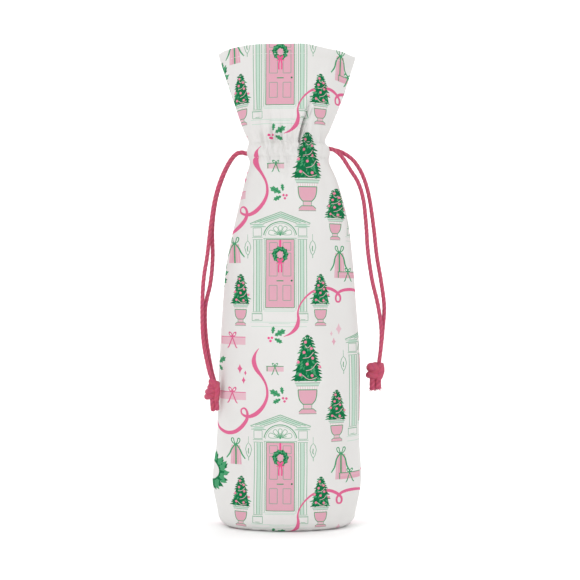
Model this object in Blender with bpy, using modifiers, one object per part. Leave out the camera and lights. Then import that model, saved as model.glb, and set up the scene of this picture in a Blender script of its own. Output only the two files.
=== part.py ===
"""Drawstring wine gift bag: cotton body with a gathered neck, a flared frill and two knotted cords.

Units are metres, +Z is up, the front faces -Y and the origin is the centre of the base.
The bag is two cloth panels, front and back, joined at side seams and along the middle of the base.
Lengths below are written in millimetres times MM.
"""
import math

import bmesh
import bpy
from mathutils import Vector

MM = 0.001

# Cloth
CLOTH = 1.2 * MM            # a panel with its turned and stitched edges
TAPE = 0.8 * MM             # the tape sewn inside the neck
SEAM_GAP = 0.5 * MM         # between the front and back halves
TOUCH_GAP = 0.3 * MM        # between pieces that touch
COLUMNS = 22                # facets from side seam to side seam

# Base and body
CORNER = 10 * MM            # rounding between base and wall
BASE_HALF_WIDTH = 40 * MM
BASE_HALF_DEPTH = 31 * MM
BODY_TOP = 276.5 * MM       # upper stitch row of the cord tunnel
BODY_ROWS = 26

# Neck and frill
TUNNEL_BOTTOM = 266.5 * MM
NECK = 278.6 * MM           # where the gathered cloth bends
FRILL_BOTTOM = 281.6 * MM
FRILL_MIDDLE_TOP = 346.2 * MM
FRILL_SIDE_TOP = 342 * MM
FRILL_ROWS = 8

# Cords
CORD_RADIUS = 1.5 * MM
CORD_STEP = 7.5 * MM        # spacing of the points along a cord
STRAND_OFFSET = 2.2 * MM    # each strand from the middle of the side seam
LEFT_CORD_Z = 270.3 * MM
RIGHT_CORD_Z = 273.9 * MM
TUNNEL_INSET = 3.2 * MM     # cord centre inside the outer face
TAPE_INSET = 5.2 * MM       # tape's outer face inside the outer face
ROOT_INNER_X = 20.5 * MM
ROOT_OUTER_X = 32.6 * MM
CORD_PIVOT_X = 33.5 * MM
SLIT_HALF_WIDTH = 4.2 * MM

# Half width and half depth of the cloth at each height.
OUTLINE = [
    (10, 50.0, 41.0),
    (33, 54.0, 43.0),
    (62, 51.4, 44.5),
    (118, 50.6, 45.0),
    (164, 47.6, 44.0),
    (193, 45.0, 42.0),
    (222, 40.0, 37.0),
    (251, 32.8, 28.5),
    (264, 29.0, 23.0),
    (271, 30.2, 22.8),
    (278, 28.0, 21.4),
    (288, 31.6, 22.8),
    (316, 40.6, 25.5),
    (346, 50.2, 28.5),
]

# Routes of the four hanging strands, from the tunnel down to the knot, in millimetres.
LEFT_FRONT_ROUTE = [
    (-34.4, -2.2, 270.3), (-38.6, -2.6, 267.4), (-43.4, -3.4, 260.0), (-48.6, -4.6, 248.5),
    (-52.4, -6.2, 234.0), (-55.0, -8.0, 216.0), (-57.2, -10.0, 196.0), (-60.2, -12.2, 178.0),
    (-61.2, -14.6, 156.0), (-60.4, -17.0, 134.0), (-56.6, -19.4, 114.0), (-54.6, -19.9, 107.2),
]
LEFT_BACK_ROUTE = [
    (-34.4, 2.2, 270.3), (-38.4, 1.9, 267.6), (-43.0, 1.2, 260.4), (-48.0, 0.1, 249.0),
    (-51.8, -1.5, 234.4), (-53.8, -3.6, 216.0), (-53.2, -6.0, 194.0), (-54.2, -8.8, 178.0),
    (-58.4, -10.8, 158.0), (-57.8, -13.4, 136.0), (-54.2, -15.8, 114.0), (-52.4, -16.3, 107.2),
]
RIGHT_FRONT_ROUTE = [
    (34.4, -2.2, 273.9), (38.6, -2.5, 271.6), (42.2, -2.7, 267.0), (46.4, -2.8, 258.4),
    (52.0, -2.8, 249.0), (55.8, -2.8, 236.4), (57.8, -2.8, 218.0), (58.8, -2.7, 200.0),
    (61.4, -2.5, 179.0), (66.2, -2.2, 160.0), (68.2, -2.0, 143.0), (66.6, -1.9, 126.0), (65.4, -1.8, 119.8),
]
RIGHT_BACK_ROUTE = [
    (34.4, 2.2, 273.9), (40.0, 2.5, 272.8), (45.6, 2.7, 269.6), (50.4, 2.8, 264.6),
    (55.8, 2.8, 254.0), (60.2, 2.8, 239.0), (63.6, 2.8, 216.0), (65.8, 2.7, 196.0),
    (69.4, 2.5, 177.0), (72.4, 2.3, 157.0), (71.6, 2.0, 140.0), (68.4, 1.8, 125.0), (67.0, 1.8, 119.8),
]

# Knots: centre and half sizes.
LEFT_KNOT = ((-53.0, -18.1, 98.8), (5.0, 4.7, 7.7))
RIGHT_KNOT = ((64.6, 0.0, 112.2), (6.6, 5.6, 7.0))
TAIL_LENGTH = 7.4 * MM
TAIL_SPREAD = 1.7 * MM

COLOURS = {
    "printed_cotton": ((0.80, 0.80, 0.78, 1.0), 0.9),
    "plain_cotton": ((0.74, 0.73, 0.70, 1.0), 0.92),
    "overlocked_edge": ((0.86, 0.86, 0.84, 1.0), 0.95),
    "crimson_cotton_cord": ((0.52, 0.09, 0.15, 1.0), 0.88),
}


# ---------------------------------------------------------------- scene and helpers

def clear_scene():
    for old in list(bpy.data.objects):
        bpy.data.objects.remove(old, do_unlink=True)


def new_collection(name):
    collection = bpy.data.collections.new(name)
    bpy.context.scene.collection.children.link(collection)
    return collection


def material(name):
    if name in bpy.data.materials:
        return bpy.data.materials[name]
    colour, roughness = COLOURS[name]
    made = bpy.data.materials.new(name)
    made.use_nodes = True
    shader = made.node_tree.nodes["Principled BSDF"]
    shader.inputs["Base Color"].default_value = colour
    shader.inputs["Roughness"].default_value = roughness
    shader.inputs["Metallic"].default_value = 0.0
    made.diffuse_color = colour
    return made


def add_object(name, data, finish, parent=None):
    """Link an object whose data is in world coordinates, with its origin on the parent's axis."""
    made = bpy.data.objects.new(name, data)
    data.materials.append(material(finish))
    BAG.objects.link(made)
    if parent is not None:
        made.parent = parent
        made.matrix_parent_inverse = parent.matrix_world.inverted()
    return made


def joint_empty(name, position, parent=None):
    """An empty on a joint's axis, which carries the pieces that move on it."""
    empty = bpy.data.objects.new(name, None)
    empty.empty_display_size = 8 * MM
    BAG.objects.link(empty)
    empty.location = position
    bpy.context.view_layer.update()
    if parent is not None:
        empty.parent = parent
        empty.matrix_parent_inverse = parent.matrix_world.inverted()
        bpy.context.view_layer.update()
    return empty


def catmull_rom(before, start, end, after, t):
    """One value on the smooth curve from start to end."""
    return 0.5 * (2 * start + (end - before) * t
                  + (2 * before - 5 * start + 4 * end - after) * t * t
                  + (3 * start - before - 3 * end + after) * t ** 3)


# ---------------------------------------------------------------- cloth surface

def half_sizes(z):
    """Half width and half depth of the cloth at height z, on a smooth curve through OUTLINE."""
    height = min(max(z / MM, OUTLINE[0][0]), OUTLINE[-1][0])
    index = max(i for i, row in enumerate(OUTLINE[:-1]) if row[0] <= height)
    low = OUTLINE[index]
    high = OUTLINE[index + 1]
    before = OUTLINE[max(index - 1, 0)]
    after = OUTLINE[min(index + 2, len(OUTLINE) - 1)]
    span = high[0] - low[0]
    t = (height - low[0]) / span
    sizes = []
    for axis in (1, 2):
        slope_low = (high[axis] - before[axis]) / (high[0] - before[0])
        slope_high = (after[axis] - low[axis]) / (after[0] - low[0])
        value = ((2 * t ** 3 - 3 * t ** 2 + 1) * low[axis] + (t ** 3 - 2 * t ** 2 + t) * span * slope_low
                 + (3 * t ** 2 - 2 * t ** 3) * high[axis] + (t ** 3 - t ** 2) * span * slope_high)
        sizes.append(value * MM)
    return sizes


def oval_row(half_width, half_depth, z_at, side, inset=0.0, depth_scale=1.0, start=0.0):
    """Points from the left seam to the right seam; side is -1 at the front and 1 at the back."""
    row = []
    for column in range(COLUMNS + 1):
        angle = start + (math.pi - 2 * start) * column / COLUMNS
        x = -(half_width - inset) * math.cos(angle)
        y = side * (SEAM_GAP / 2 + (half_depth - inset) * math.sin(angle) * depth_scale)
        row.append(Vector((x, y, z_at(abs(math.cos(angle))))))
    return row


def sheet(name, rows, thickness, finish, parent=None, offset=-1.0, flip=False):
    """A cloth piece: a lofted open surface through the rows, thickened by Solidify."""
    shape = bmesh.new()
    grid = [[shape.verts.new(point) for point in row] for row in rows]
    for lower, upper in zip(grid, grid[1:]):
        for index in range(len(lower) - 1):
            corners = [lower[index], lower[index + 1], upper[index + 1], upper[index]]
            shape.faces.new(reversed(corners) if flip else corners)
    bmesh.ops.remove_doubles(shape, verts=shape.verts, dist=0.01 * MM)
    mesh = bpy.data.meshes.new(name)
    shape.to_mesh(mesh)
    shape.free()
    mesh.shade_smooth()
    made = add_object(name, mesh, finish, parent)
    thick = made.modifiers.new("cloth", "SOLIDIFY")
    thick.thickness = thickness
    thick.offset = offset
    thick.use_even_offset = True
    return made


def panel_rows(side):
    """Base seam to base edge, rounded corner, then the wall up to the neck."""
    rows = []
    for scale in (0.0, 0.35, 0.7, 1.0):
        rows.append(oval_row(BASE_HALF_WIDTH, BASE_HALF_DEPTH, lambda c: 0.0, side, depth_scale=scale))
    for step in range(1, 4):
        turn = math.radians(90 * step / 4)
        out = CORNER * math.sin(turn)
        height = CORNER * (1 - math.cos(turn))
        rows.append(oval_row(BASE_HALF_WIDTH + out, BASE_HALF_DEPTH + out, lambda c: height, side))
    for step in range(BODY_ROWS + 1):
        height = CORNER + (BODY_TOP - CORNER) * (1 - (1 - step / BODY_ROWS) ** 1.35)
        half_width, half_depth = half_sizes(height)
        rows.append(oval_row(half_width, half_depth, lambda c: height, side))
    return rows


def build_panel(name, side, slit_cutters):
    panel = sheet(name, panel_rows(side), CLOTH, "printed_cotton", flip=side > 0)
    for number, cutter in enumerate(slit_cutters):
        cut = panel.modifiers.new("cord_slit_%d" % number, "BOOLEAN")
        cut.operation = "DIFFERENCE"
        cut.solver = "EXACT"
        cut.object = cutter
    return panel


def build_slit_cutter(side):
    """The unsewn stretch of a side seam, where the cord ends come out of the tunnel."""
    bottom = (LEFT_CORD_Z if side < 0 else RIGHT_CORD_Z) - CORD_RADIUS - 0.5 * MM
    top = BODY_TOP + 2 * MM
    bpy.ops.mesh.primitive_cube_add(size=1)
    cutter = bpy.context.active_object
    cutter.name = "left_slit_cutter" if side < 0 else "right_slit_cutter"
    cutter.scale = (14 * MM, 2 * SLIT_HALF_WIDTH, top - bottom)
    cutter.location = (side * 30 * MM, 0, (top + bottom) / 2)
    bpy.ops.object.transform_apply(location=True, rotation=False, scale=True)
    cutter.hide_render = True
    cutter.display_type = "WIRE"
    for home in list(cutter.users_collection):
        home.objects.unlink(cutter)
    CUTTERS.objects.link(cutter)
    return cutter


def build_frill(name, side, parent):
    """The flared header: its hem is lower at the sides, where the cloth slants outwards."""
    rows = []
    for step in range(FRILL_ROWS + 1):
        t = step / FRILL_ROWS

        def height(sideways):
            top = FRILL_MIDDLE_TOP + (FRILL_SIDE_TOP - FRILL_MIDDLE_TOP) * sideways ** 3
            return FRILL_BOTTOM + (top - FRILL_BOTTOM) * t

        level = FRILL_BOTTOM + (FRILL_MIDDLE_TOP - FRILL_BOTTOM) * t
        half_width, half_depth = half_sizes(level)
        rows.append(oval_row(half_width, half_depth, height, side))
    return sheet(name, rows, CLOTH, "printed_cotton", parent, flip=side > 0)


def build_casing_tape(name, side):
    """The tape inside the neck that makes the cord tunnel; its ends stop short of the slits."""
    rows = []
    for step in range(4):
        height = TUNNEL_BOTTOM + (BODY_TOP - TUNNEL_BOTTOM) * step / 3
        half_width, half_depth = half_sizes(height)
        clear = math.asin((SLIT_HALF_WIDTH + TOUCH_GAP) / (half_depth - TAPE_INSET))
        rows.append(oval_row(half_width, half_depth, lambda c: height, side, inset=TAPE_INSET, start=clear))
    return sheet(name, rows, TAPE, "plain_cotton", flip=side > 0)


# ---------------------------------------------------------------- seam allowances inside

def build_side_seam(name, side):
    """Overlocked allowance of a side seam: a fin that stands inwards from the seam."""
    bottom = CORNER + 4 * MM
    top = TUNNEL_BOTTOM - 3 * MM
    width = 6 * MM
    inside = CLOTH + 2 * TOUCH_GAP + 0.2 * MM
    rows = []
    for step in range(17):
        height = bottom + (top - bottom) * step / 16
        half_width, _ = half_sizes(height)
        rows.append([Vector((side * (half_width - inside - width * part), 0, height)) for part in (0, 1)])
    return sheet(name, rows, 1.2 * MM, "overlocked_edge", offset=0.0)


def build_base_seam():
    """Overlocked allowance along the middle of the base, standing up inside."""
    half_length = 33 * MM
    low = CLOTH + TOUCH_GAP
    high = low + 5 * MM
    rows = [[Vector((x, 0, z)) for z in (low, high)] for x in (-half_length, half_length)]
    return sheet("base_seam", rows, 1.2 * MM, "overlocked_edge", offset=0.0)


def build_corner_seam(name, side):
    """Overlocked allowance across a boxed corner of the base, standing up inside."""
    x = side * 35.5 * MM
    half_length = 11 * MM
    low = CLOTH + TOUCH_GAP
    high = low + 5 * MM
    rows = [[Vector((x, y, z)) for z in (low, high)] for y in (-half_length, half_length)]
    return sheet(name, rows, 1.2 * MM, "overlocked_edge", offset=0.0)


# ---------------------------------------------------------------- cords

def cord(name, points, parent=None, radius=CORD_RADIUS):
    """A round cord: a poly curve with a bevel and filled caps."""
    curve = bpy.data.curves.new(name, "CURVE")
    curve.dimensions = "3D"
    curve.bevel_depth = radius
    curve.bevel_resolution = 2
    curve.use_fill_caps = True
    spline = curve.splines.new("POLY")
    spline.points.add(len(points) - 1)
    for spot, point in zip(spline.points, points):
        spot.co = (*point, 1.0)
    return add_object(name, curve, "crimson_cotton_cord", parent)


def along_route(route):
    """Even points on a smooth curve through a route given in millimetres."""
    stops = [Vector(stop) * MM for stop in route]
    stops = [2 * stops[0] - stops[1]] + stops + [2 * stops[-1] - stops[-2]]
    fine = []
    for i in range(1, len(stops) - 2):
        for step in range(12):
            fine.append(catmull_rom(stops[i - 1], stops[i], stops[i + 1], stops[i + 2], step / 12))
    fine.append(stops[-2])
    length = sum((b - a).length for a, b in zip(fine, fine[1:]))
    count = round(length / CORD_STEP)
    points = [fine[0]]
    walked = 0.0
    for a, b in zip(fine, fine[1:]):
        walked += (b - a).length
        if walked >= length * len(points) / count and len(points) < count:
            points.append(b)
    points.append(fine[-1])
    return points


def tunnel_loop(name, side, height):
    """The part of a cord that lies in the tunnel, from its slit all the way round and back."""
    half_width, half_depth = half_sizes(height)
    a = half_width - TUNNEL_INSET
    b = half_depth - TUNNEL_INSET
    reach = STRAND_OFFSET + CORD_RADIUS + 3 * TOUCH_GAP
    start = math.asin(reach / b)
    count = 24
    points = []
    for step in range(count + 1):
        angle = start + (2 * math.pi - 2 * start) * step / count
        points.append(Vector((side * a * math.cos(angle), b * math.sin(angle), height)))
    return cord(name, points)


def knot(name, place, parent):
    """An overhand knot in both strands, as a plain rounded body."""
    centre, half = place
    bpy.ops.mesh.primitive_uv_sphere_add(segments=14, ring_count=8, radius=1)
    ball = bpy.context.active_object
    mesh = ball.data
    bpy.data.objects.remove(ball, do_unlink=True)
    for vert in mesh.vertices:
        vert.co = Vector([(vert.co[i] * half[i] + centre[i]) * MM for i in range(3)])
    mesh.shade_smooth()
    return add_object(name, mesh, "crimson_cotton_cord", parent)


def build_tails(prefix, place, parent):
    """The two cut ends below a knot."""
    centre, half = place
    top = (centre[2] - half[2]) * MM - TOUCH_GAP
    for part, shift in (("front", -TAIL_SPREAD), ("back", TAIL_SPREAD)):
        x = centre[0] * MM + shift
        y = centre[1] * MM
        points = [Vector((x, y, top - TAIL_LENGTH * step / 2)) for step in range(3)]
        cord("%s_cord_%s_tail" % (prefix, part), points, parent)


def build_cord(prefix, side, height, front_route, back_route, knot_place):
    """One drawstring: loop in the tunnel, two roots in the slit, two strands, a knot and two tails."""
    pull = joint_empty("%s_cord_pull_axis" % prefix, (side * ROOT_OUTER_X, 0, height))
    swing = joint_empty("%s_cord_swing_axis" % prefix, (side * CORD_PIVOT_X, 0, height), pull)
    tunnel_loop("%s_cord_loop" % prefix, side, height)
    for part, y, route in (("front", -STRAND_OFFSET, front_route), ("back", STRAND_OFFSET, back_route)):
        root = [Vector((side * x, y, height)) for x in (ROOT_INNER_X, (ROOT_INNER_X + ROOT_OUTER_X) / 2, ROOT_OUTER_X)]
        cord("%s_cord_%s_root" % (prefix, part), root, pull)
        cord("%s_cord_%s_strand" % (prefix, part), along_route(route), swing)
    knot("%s_knot" % prefix, knot_place, swing)
    build_tails(prefix, knot_place, swing)


# ---------------------------------------------------------------- build

clear_scene()
BAG = new_collection("wine_gift_bag")
CUTTERS = new_collection("cutters")

slits = [build_slit_cutter(-1), build_slit_cutter(1)]
build_panel("front_panel", -1, slits)
build_panel("back_panel", 1, slits)
build_casing_tape("front_casing_tape", -1)
build_casing_tape("back_casing_tape", 1)
build_side_seam("left_side_seam", -1)
build_side_seam("right_side_seam", 1)
build_base_seam()
build_corner_seam("left_corner_seam", -1)
build_corner_seam("right_corner_seam", 1)

frill_axis = joint_empty("frill_tilt_axis", (0, 0, NECK))
build_frill("front_frill", -1, frill_axis)
build_frill("back_frill", 1, frill_axis)

build_cord("left", -1, LEFT_CORD_Z, LEFT_FRONT_ROUTE, LEFT_BACK_ROUTE, LEFT_KNOT)
build_cord("right", 1, RIGHT_CORD_Z, RIGHT_FRONT_ROUTE, RIGHT_BACK_ROUTE, RIGHT_KNOT)
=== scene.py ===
"""Looks of a drawstring wine gift bag: printed cotton body and frill, two crimson cords, on a pale floor."""
import math
import random

import bmesh
import bpy
import numpy as np
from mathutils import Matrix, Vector, noise
from mathutils.geometry import delaunay_2d_cdt


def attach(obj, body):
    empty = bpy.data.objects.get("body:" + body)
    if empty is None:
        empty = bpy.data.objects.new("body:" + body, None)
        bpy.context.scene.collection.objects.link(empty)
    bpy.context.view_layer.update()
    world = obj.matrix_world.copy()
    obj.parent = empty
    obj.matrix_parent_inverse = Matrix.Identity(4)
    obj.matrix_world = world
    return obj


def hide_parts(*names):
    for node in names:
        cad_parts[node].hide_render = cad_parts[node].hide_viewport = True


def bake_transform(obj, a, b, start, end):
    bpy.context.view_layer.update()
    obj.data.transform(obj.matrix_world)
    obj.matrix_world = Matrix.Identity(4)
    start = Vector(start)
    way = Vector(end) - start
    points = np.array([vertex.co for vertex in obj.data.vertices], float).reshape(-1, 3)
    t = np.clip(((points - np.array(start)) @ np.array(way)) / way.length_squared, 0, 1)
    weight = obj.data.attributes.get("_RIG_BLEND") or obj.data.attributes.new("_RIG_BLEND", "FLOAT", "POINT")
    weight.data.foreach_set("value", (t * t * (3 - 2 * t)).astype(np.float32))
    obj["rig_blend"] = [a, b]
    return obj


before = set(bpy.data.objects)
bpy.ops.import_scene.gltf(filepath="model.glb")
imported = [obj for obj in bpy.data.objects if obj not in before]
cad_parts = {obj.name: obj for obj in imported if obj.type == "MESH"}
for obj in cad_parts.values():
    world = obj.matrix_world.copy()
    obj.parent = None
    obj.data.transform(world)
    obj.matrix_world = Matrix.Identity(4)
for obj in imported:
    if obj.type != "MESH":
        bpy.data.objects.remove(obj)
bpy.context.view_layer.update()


# ---------------------------------------------------------------- studio
# A white sweep of paper, soft light from all round and one larger soft light from the front left.
# The camera is level with the middle of the bag, a little over a metre in front of it.

CAMERA_DISTANCE = 1.2
CAMERA_HEIGHT = 0.171
CAMERA_ASIDE = 0.0025
PICTURE_WIDTH = 0.4222          # metres across the picture at the bag's middle
SENSOR_WIDTH = 36               # millimetres
ROOM_LIGHT = 0.72
WALL_BEGINS = 1.2               # how far behind the bag the floor starts to curve up
WALL_CURVE = 0.8

scene = bpy.context.scene
scene.view_settings.view_transform = "Standard"


def linear(hex_colour):
    """An sRGB hex colour as linear values."""
    values = []
    for start in (0, 2, 4):
        value = int(hex_colour[start:start + 2], 16) / 255
        values.append(value / 12.92 if value <= 0.04045 else ((value + 0.055) / 1.055) ** 2.4)
    return (*values, 1.0)


def add_node(tree, kind, settings=None, inputs=None, links=None):
    """A node with its settings, its fixed inputs, and its inputs that come from other nodes' outputs."""
    made = tree.nodes.new(kind)
    for key, value in (settings or {}).items():
        setattr(made, key, value)
    for key, value in (inputs or {}).items():
        made.inputs[key].default_value = value
    for key, value in (links or {}).items():
        tree.links.new(value, made.inputs[key])
    return made


def new_material(name, roughness):
    """An empty material with its shader, which has no metal and a typical IOR for fibres."""
    made = bpy.data.materials.new(name)
    made.use_nodes = True
    tree = made.node_tree
    tree.nodes.clear()
    shader = add_node(tree, "ShaderNodeBsdfPrincipled", inputs={"Roughness": roughness, "IOR": 1.5})
    add_node(tree, "ShaderNodeOutputMaterial", links={"Surface": shader.outputs["BSDF"]})
    return made, tree, shader


def link_mesh(name, mesh, *materials):
    """An object for a mesh whose points are already in place, shaded smooth."""
    for finish in materials:
        mesh.materials.append(finish)
    mesh.shade_smooth()
    made = bpy.data.objects.new(name, mesh)
    scene.collection.objects.link(made)
    return made


def finished_mesh(name, shape):
    """The mesh of a bmesh that is not needed any more."""
    mesh = bpy.data.meshes.new(name)
    shape.to_mesh(mesh)
    shape.free()
    return mesh


def sweep_paper():
    """The floor and the wall behind it as one curved sheet."""
    paper = bmesh.new()
    profile = [Vector((-3, -2.6, 0)), Vector((-3, WALL_BEGINS, 0))]
    for step in range(1, 13):
        turn = math.radians(90 * step / 12)
        rise = WALL_CURVE * (1 - math.cos(turn))
        profile.append(Vector((-3, WALL_BEGINS + WALL_CURVE * math.sin(turn), rise)))
    profile.append(Vector((-3, WALL_BEGINS + WALL_CURVE, 3.0)))
    verts = [paper.verts.new(point) for point in profile]
    edges = [paper.edges.new(pair) for pair in zip(verts, verts[1:])]
    bmesh.ops.extrude_edge_only(paper, edges=edges)
    paper.verts.ensure_lookup_table()
    bmesh.ops.translate(paper, vec=(6, 0, 0), verts=paper.verts[len(profile):])
    bmesh.ops.recalc_face_normals(paper, faces=paper.faces)
    mesh = finished_mesh("studio_floor", paper)
    finish, _, shader = new_material("white_studio_paper", 0.9)
    shader.inputs["Base Color"].default_value = linear("FBFBFB")
    return link_mesh("studio_floor", mesh, finish)


sweep_paper()

world = bpy.data.worlds.new("studio")
world.use_nodes = True
world.node_tree.nodes["Background"].inputs["Color"].default_value = (1, 1, 1, 1)
world.node_tree.nodes["Background"].inputs["Strength"].default_value = ROOM_LIGHT
scene.world = world

SOFT_LIGHTS = [
    ("key_light", (-0.9, -1.5, 1.15), 1.0, 9.0),
    ("fill_light", (1.3, -1.3, 0.6), 1.2, 4.0),
    ("top_light", (0.1, 0.2, 1.7), 1.0, 7.0),
]
BACKDROP_LIGHTS = [
    ("left_backdrop_light", (-1.2, 0.9, 1.1), 1.0, 9.0),
    ("right_backdrop_light", (1.2, 0.9, 1.1), 1.0, 9.0),
]
for name, place, size, energy in SOFT_LIGHTS + BACKDROP_LIGHTS:
    lamp = bpy.data.lights.new(name, "AREA")
    lamp.size = size
    lamp.energy = energy
    lamp_object = bpy.data.objects.new(name, lamp)
    lamp_object.location = place
    aim = Vector((0, 2, 0.4)) if "backdrop" in name else Vector((0, 0, 0.17))
    lamp_object.rotation_euler = (aim - Vector(place)).to_track_quat("-Z", "Y").to_euler()
    scene.collection.objects.link(lamp_object)

camera = bpy.data.cameras.new("camera")
camera.sensor_width = SENSOR_WIDTH
camera.lens = SENSOR_WIDTH * CAMERA_DISTANCE / PICTURE_WIDTH
camera_object = bpy.data.objects.new("camera", camera)
camera_object.location = (CAMERA_ASIDE, -CAMERA_DISTANCE, CAMERA_HEIGHT)
camera_object.rotation_euler = (math.radians(90), 0, 0)
scene.collection.objects.link(camera_object)
scene.camera = camera_object


# ---------------------------------------------------------------- cords
# Two soft cotton cords, three plies twisted together and dyed crimson. Each runs round the neck inside
# the tunnel and both its ends come out of a slit in the side seam, hang down and share one knot.

MM = 0.001
CORD_RADIUS = 1.5 * MM
PLY_PITCH = 11.0 * MM           # length of one full twist
CORD_RING = 0.55 * MM           # spacing of the rings along a cord
CORD_SIDES = 18
INNER_END_X = 16.5
LEFT_CORD_Z = 270.3
RIGHT_CORD_Z = 273.9

LEFT_FRONT_ROUTE = [
    (-33.2, -2.2, 271.0), (-37.6, -2.6, 269.0), (-43.0, -3.4, 261.4), (-48.6, -4.6, 248.5),
    (-52.4, -6.2, 234.0), (-55.0, -8.0, 216.0), (-57.2, -10.0, 196.0), (-59.8, -12.2, 178.0),
    (-60.6, -14.6, 156.0), (-59.6, -17.0, 134.0), (-55.6, -19.4, 114.0), (-53.4, -19.9, 107.2),
]
LEFT_BACK_ROUTE = [
    (-33.2, 2.2, 271.0), (-37.6, 1.9, 269.0), (-42.8, 1.2, 261.4), (-48.0, 0.1, 249.0),
    (-51.8, -1.5, 234.4), (-53.8, -3.6, 216.0), (-53.5, -6.0, 194.0), (-55.0, -8.8, 176.0),
    (-58.6, -10.8, 158.0), (-57.8, -13.4, 136.0), (-54.0, -15.8, 114.0), (-52.2, -16.3, 107.2),
]
RIGHT_FRONT_ROUTE = [
    (33.4, -2.2, 273.2), (37.4, -2.5, 270.6), (41.2, -2.7, 266.4), (46.2, -2.8, 258.4),
    (52.0, -2.8, 249.0), (55.8, -2.8, 236.4), (57.8, -2.8, 218.0), (59.0, -2.7, 200.0),
    (62.0, -2.5, 179.0), (66.4, -2.2, 160.0), (68.8, -2.0, 143.0), (68.5, -1.9, 129.0),
    (67.4, -1.8, 119.8),
]
RIGHT_BACK_ROUTE = [
    (33.8, 2.2, 273.4), (39.4, 2.5, 271.8), (44.8, 2.7, 268.8), (50.0, 2.8, 264.0),
    (55.8, 2.8, 254.0), (60.2, 2.8, 239.0), (63.6, 2.8, 216.0), (65.8, 2.7, 196.0),
    (69.0, 2.5, 177.0), (71.2, 2.3, 159.0), (70.2, 2.0, 143.0), (68.8, 1.8, 129.0), (67.6, 1.8, 119.8),
]


def cord_material():
    """Dyed cotton yarn: matt and fibrous, with painted shade in the grooves between plies and painted light
    on the crowns of the plies.
    """
    made, tree, shader = new_material("crimson_cotton_cord", 0.88)
    shader.inputs["Specular IOR Level"].default_value = 0.2
    shader.inputs["Sheen Weight"].default_value = 0.1
    shader.inputs["Sheen Roughness"].default_value = 0.5
    place = add_node(tree, "ShaderNodeAttribute", {"attribute_name": "along_cord"})
    raised = add_node(tree, "ShaderNodeAttribute", {"attribute_name": "raised"})
    # Fibres lie along the plies, a third of a millimetre apart.
    drawn_out = add_node(tree, "ShaderNodeVectorMath", {"operation": "MULTIPLY"}, {1: (1.9, 1.9, 0.24)},
                         {0: place.outputs["Vector"]})
    fibre = add_node(tree, "ShaderNodeTexNoise", inputs={"Scale": 1.0, "Detail": 4.0, "Roughness": 0.65},
                     links={"Vector": drawn_out.outputs["Vector"]})
    # Painted shade and painted light: the crimson is darker in the grooves between the plies and lighter on
    # their crowns, following how raised each point is.
    painted_ply_shade = add_node(tree, "ShaderNodeMix", {"data_type": "RGBA"},
                    {"A": linear("A8425A"), "B": linear("CB5C77")}, {"Factor": raised.outputs["Fac"]})
    worn = add_node(tree, "ShaderNodeMix", {"data_type": "RGBA", "blend_type": "SOFT_LIGHT"}, {"Factor": 0.8},
                    {"A": painted_ply_shade.outputs["Result"], "B": fibre.outputs["Color"]})
    tree.links.new(worn.outputs["Result"], shader.inputs["Base Color"])
    bump = add_node(tree, "ShaderNodeBump", inputs={"Strength": 0.8, "Distance": 0.0003},
                    links={"Height": fibre.outputs["Fac"]})
    tree.links.new(bump.outputs["Normal"], shader.inputs["Normal"])
    return made


CORD_COTTON = cord_material()


def curve_through(stops, parts):
    """More points on a smooth curve through the stops, so many parts between each two."""
    stops = [2 * stops[0] - stops[1]] + stops + [2 * stops[-1] - stops[-2]]
    fine = []
    for before, start, end, after in zip(stops, stops[1:], stops[2:], stops[3:]):
        for part in range(parts):
            t = part / parts
            fine.append(0.5 * (2 * start + (end - before) * t
                               + (2 * before - 5 * start + 4 * end - after) * t * t
                               + (3 * start - before - 3 * end + after) * t ** 3))
    fine.append(stops[-2])
    return fine


def smooth_line(points, step):
    """Points about a step apart on a smooth curve through the given ones, all in metres."""
    line = np.array(curve_through([Vector(point) for point in points], 16))
    walked = np.concatenate([[0], np.cumsum(np.linalg.norm(np.diff(line, axis=0), axis=1))])
    count = max(3, round(walked[-1] / step))
    even = np.linspace(0, walked[-1], count + 1)
    return [Vector([np.interp(distance, walked, line[:, axis]) for axis in range(3)]) for distance in even]


def tube(shape, line, radius_at, sides):
    """Adds a closed round tube along a line to a bmesh.

    radius_at(part of the line, angle, metres walked) gives the radius and how raised the point is.
    """
    place = shape.verts.layers.float_vector["along_cord"]
    raised = shape.verts.layers.float["raised"]
    across = Vector((0, 1, 0))
    walked = 0.0
    rings = []
    for index, point in enumerate(line):
        ahead = line[min(index + 1, len(line) - 1)] - line[max(index - 1, 0)]
        ahead.normalize()
        across = (across - ahead * across.dot(ahead)).normalized()
        over = ahead.cross(across)
        if index:
            walked += (point - line[index - 1]).length
        ring = []
        for side in range(sides):
            angle = 2 * math.pi * side / sides
            radius, painted_ply_shade = radius_at(index / (len(line) - 1), angle, walked)
            vert = shape.verts.new(point + (across * math.cos(angle) + over * math.sin(angle)) * radius)
            twisted = angle - 2 * math.pi * walked / PLY_PITCH
            vert[place] = (1.5 * math.cos(twisted), 1.5 * math.sin(twisted), walked / MM + line[0].x / MM * 7)
            # How raised the point is, which the cord's colour turns into painted shade in the grooves and
            # painted light on the crowns.
            vert[raised] = painted_ply_shade
            ring.append(vert)
        rings.append(ring)
    for before, ring in zip(rings, rings[1:]):
        for side in range(sides):
            after = (side + 1) % sides
            shape.faces.new((before[side], before[after], ring[after], ring[side]))
    shape.faces.new(reversed(rings[0]))
    shape.faces.new(rings[-1])


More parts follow.
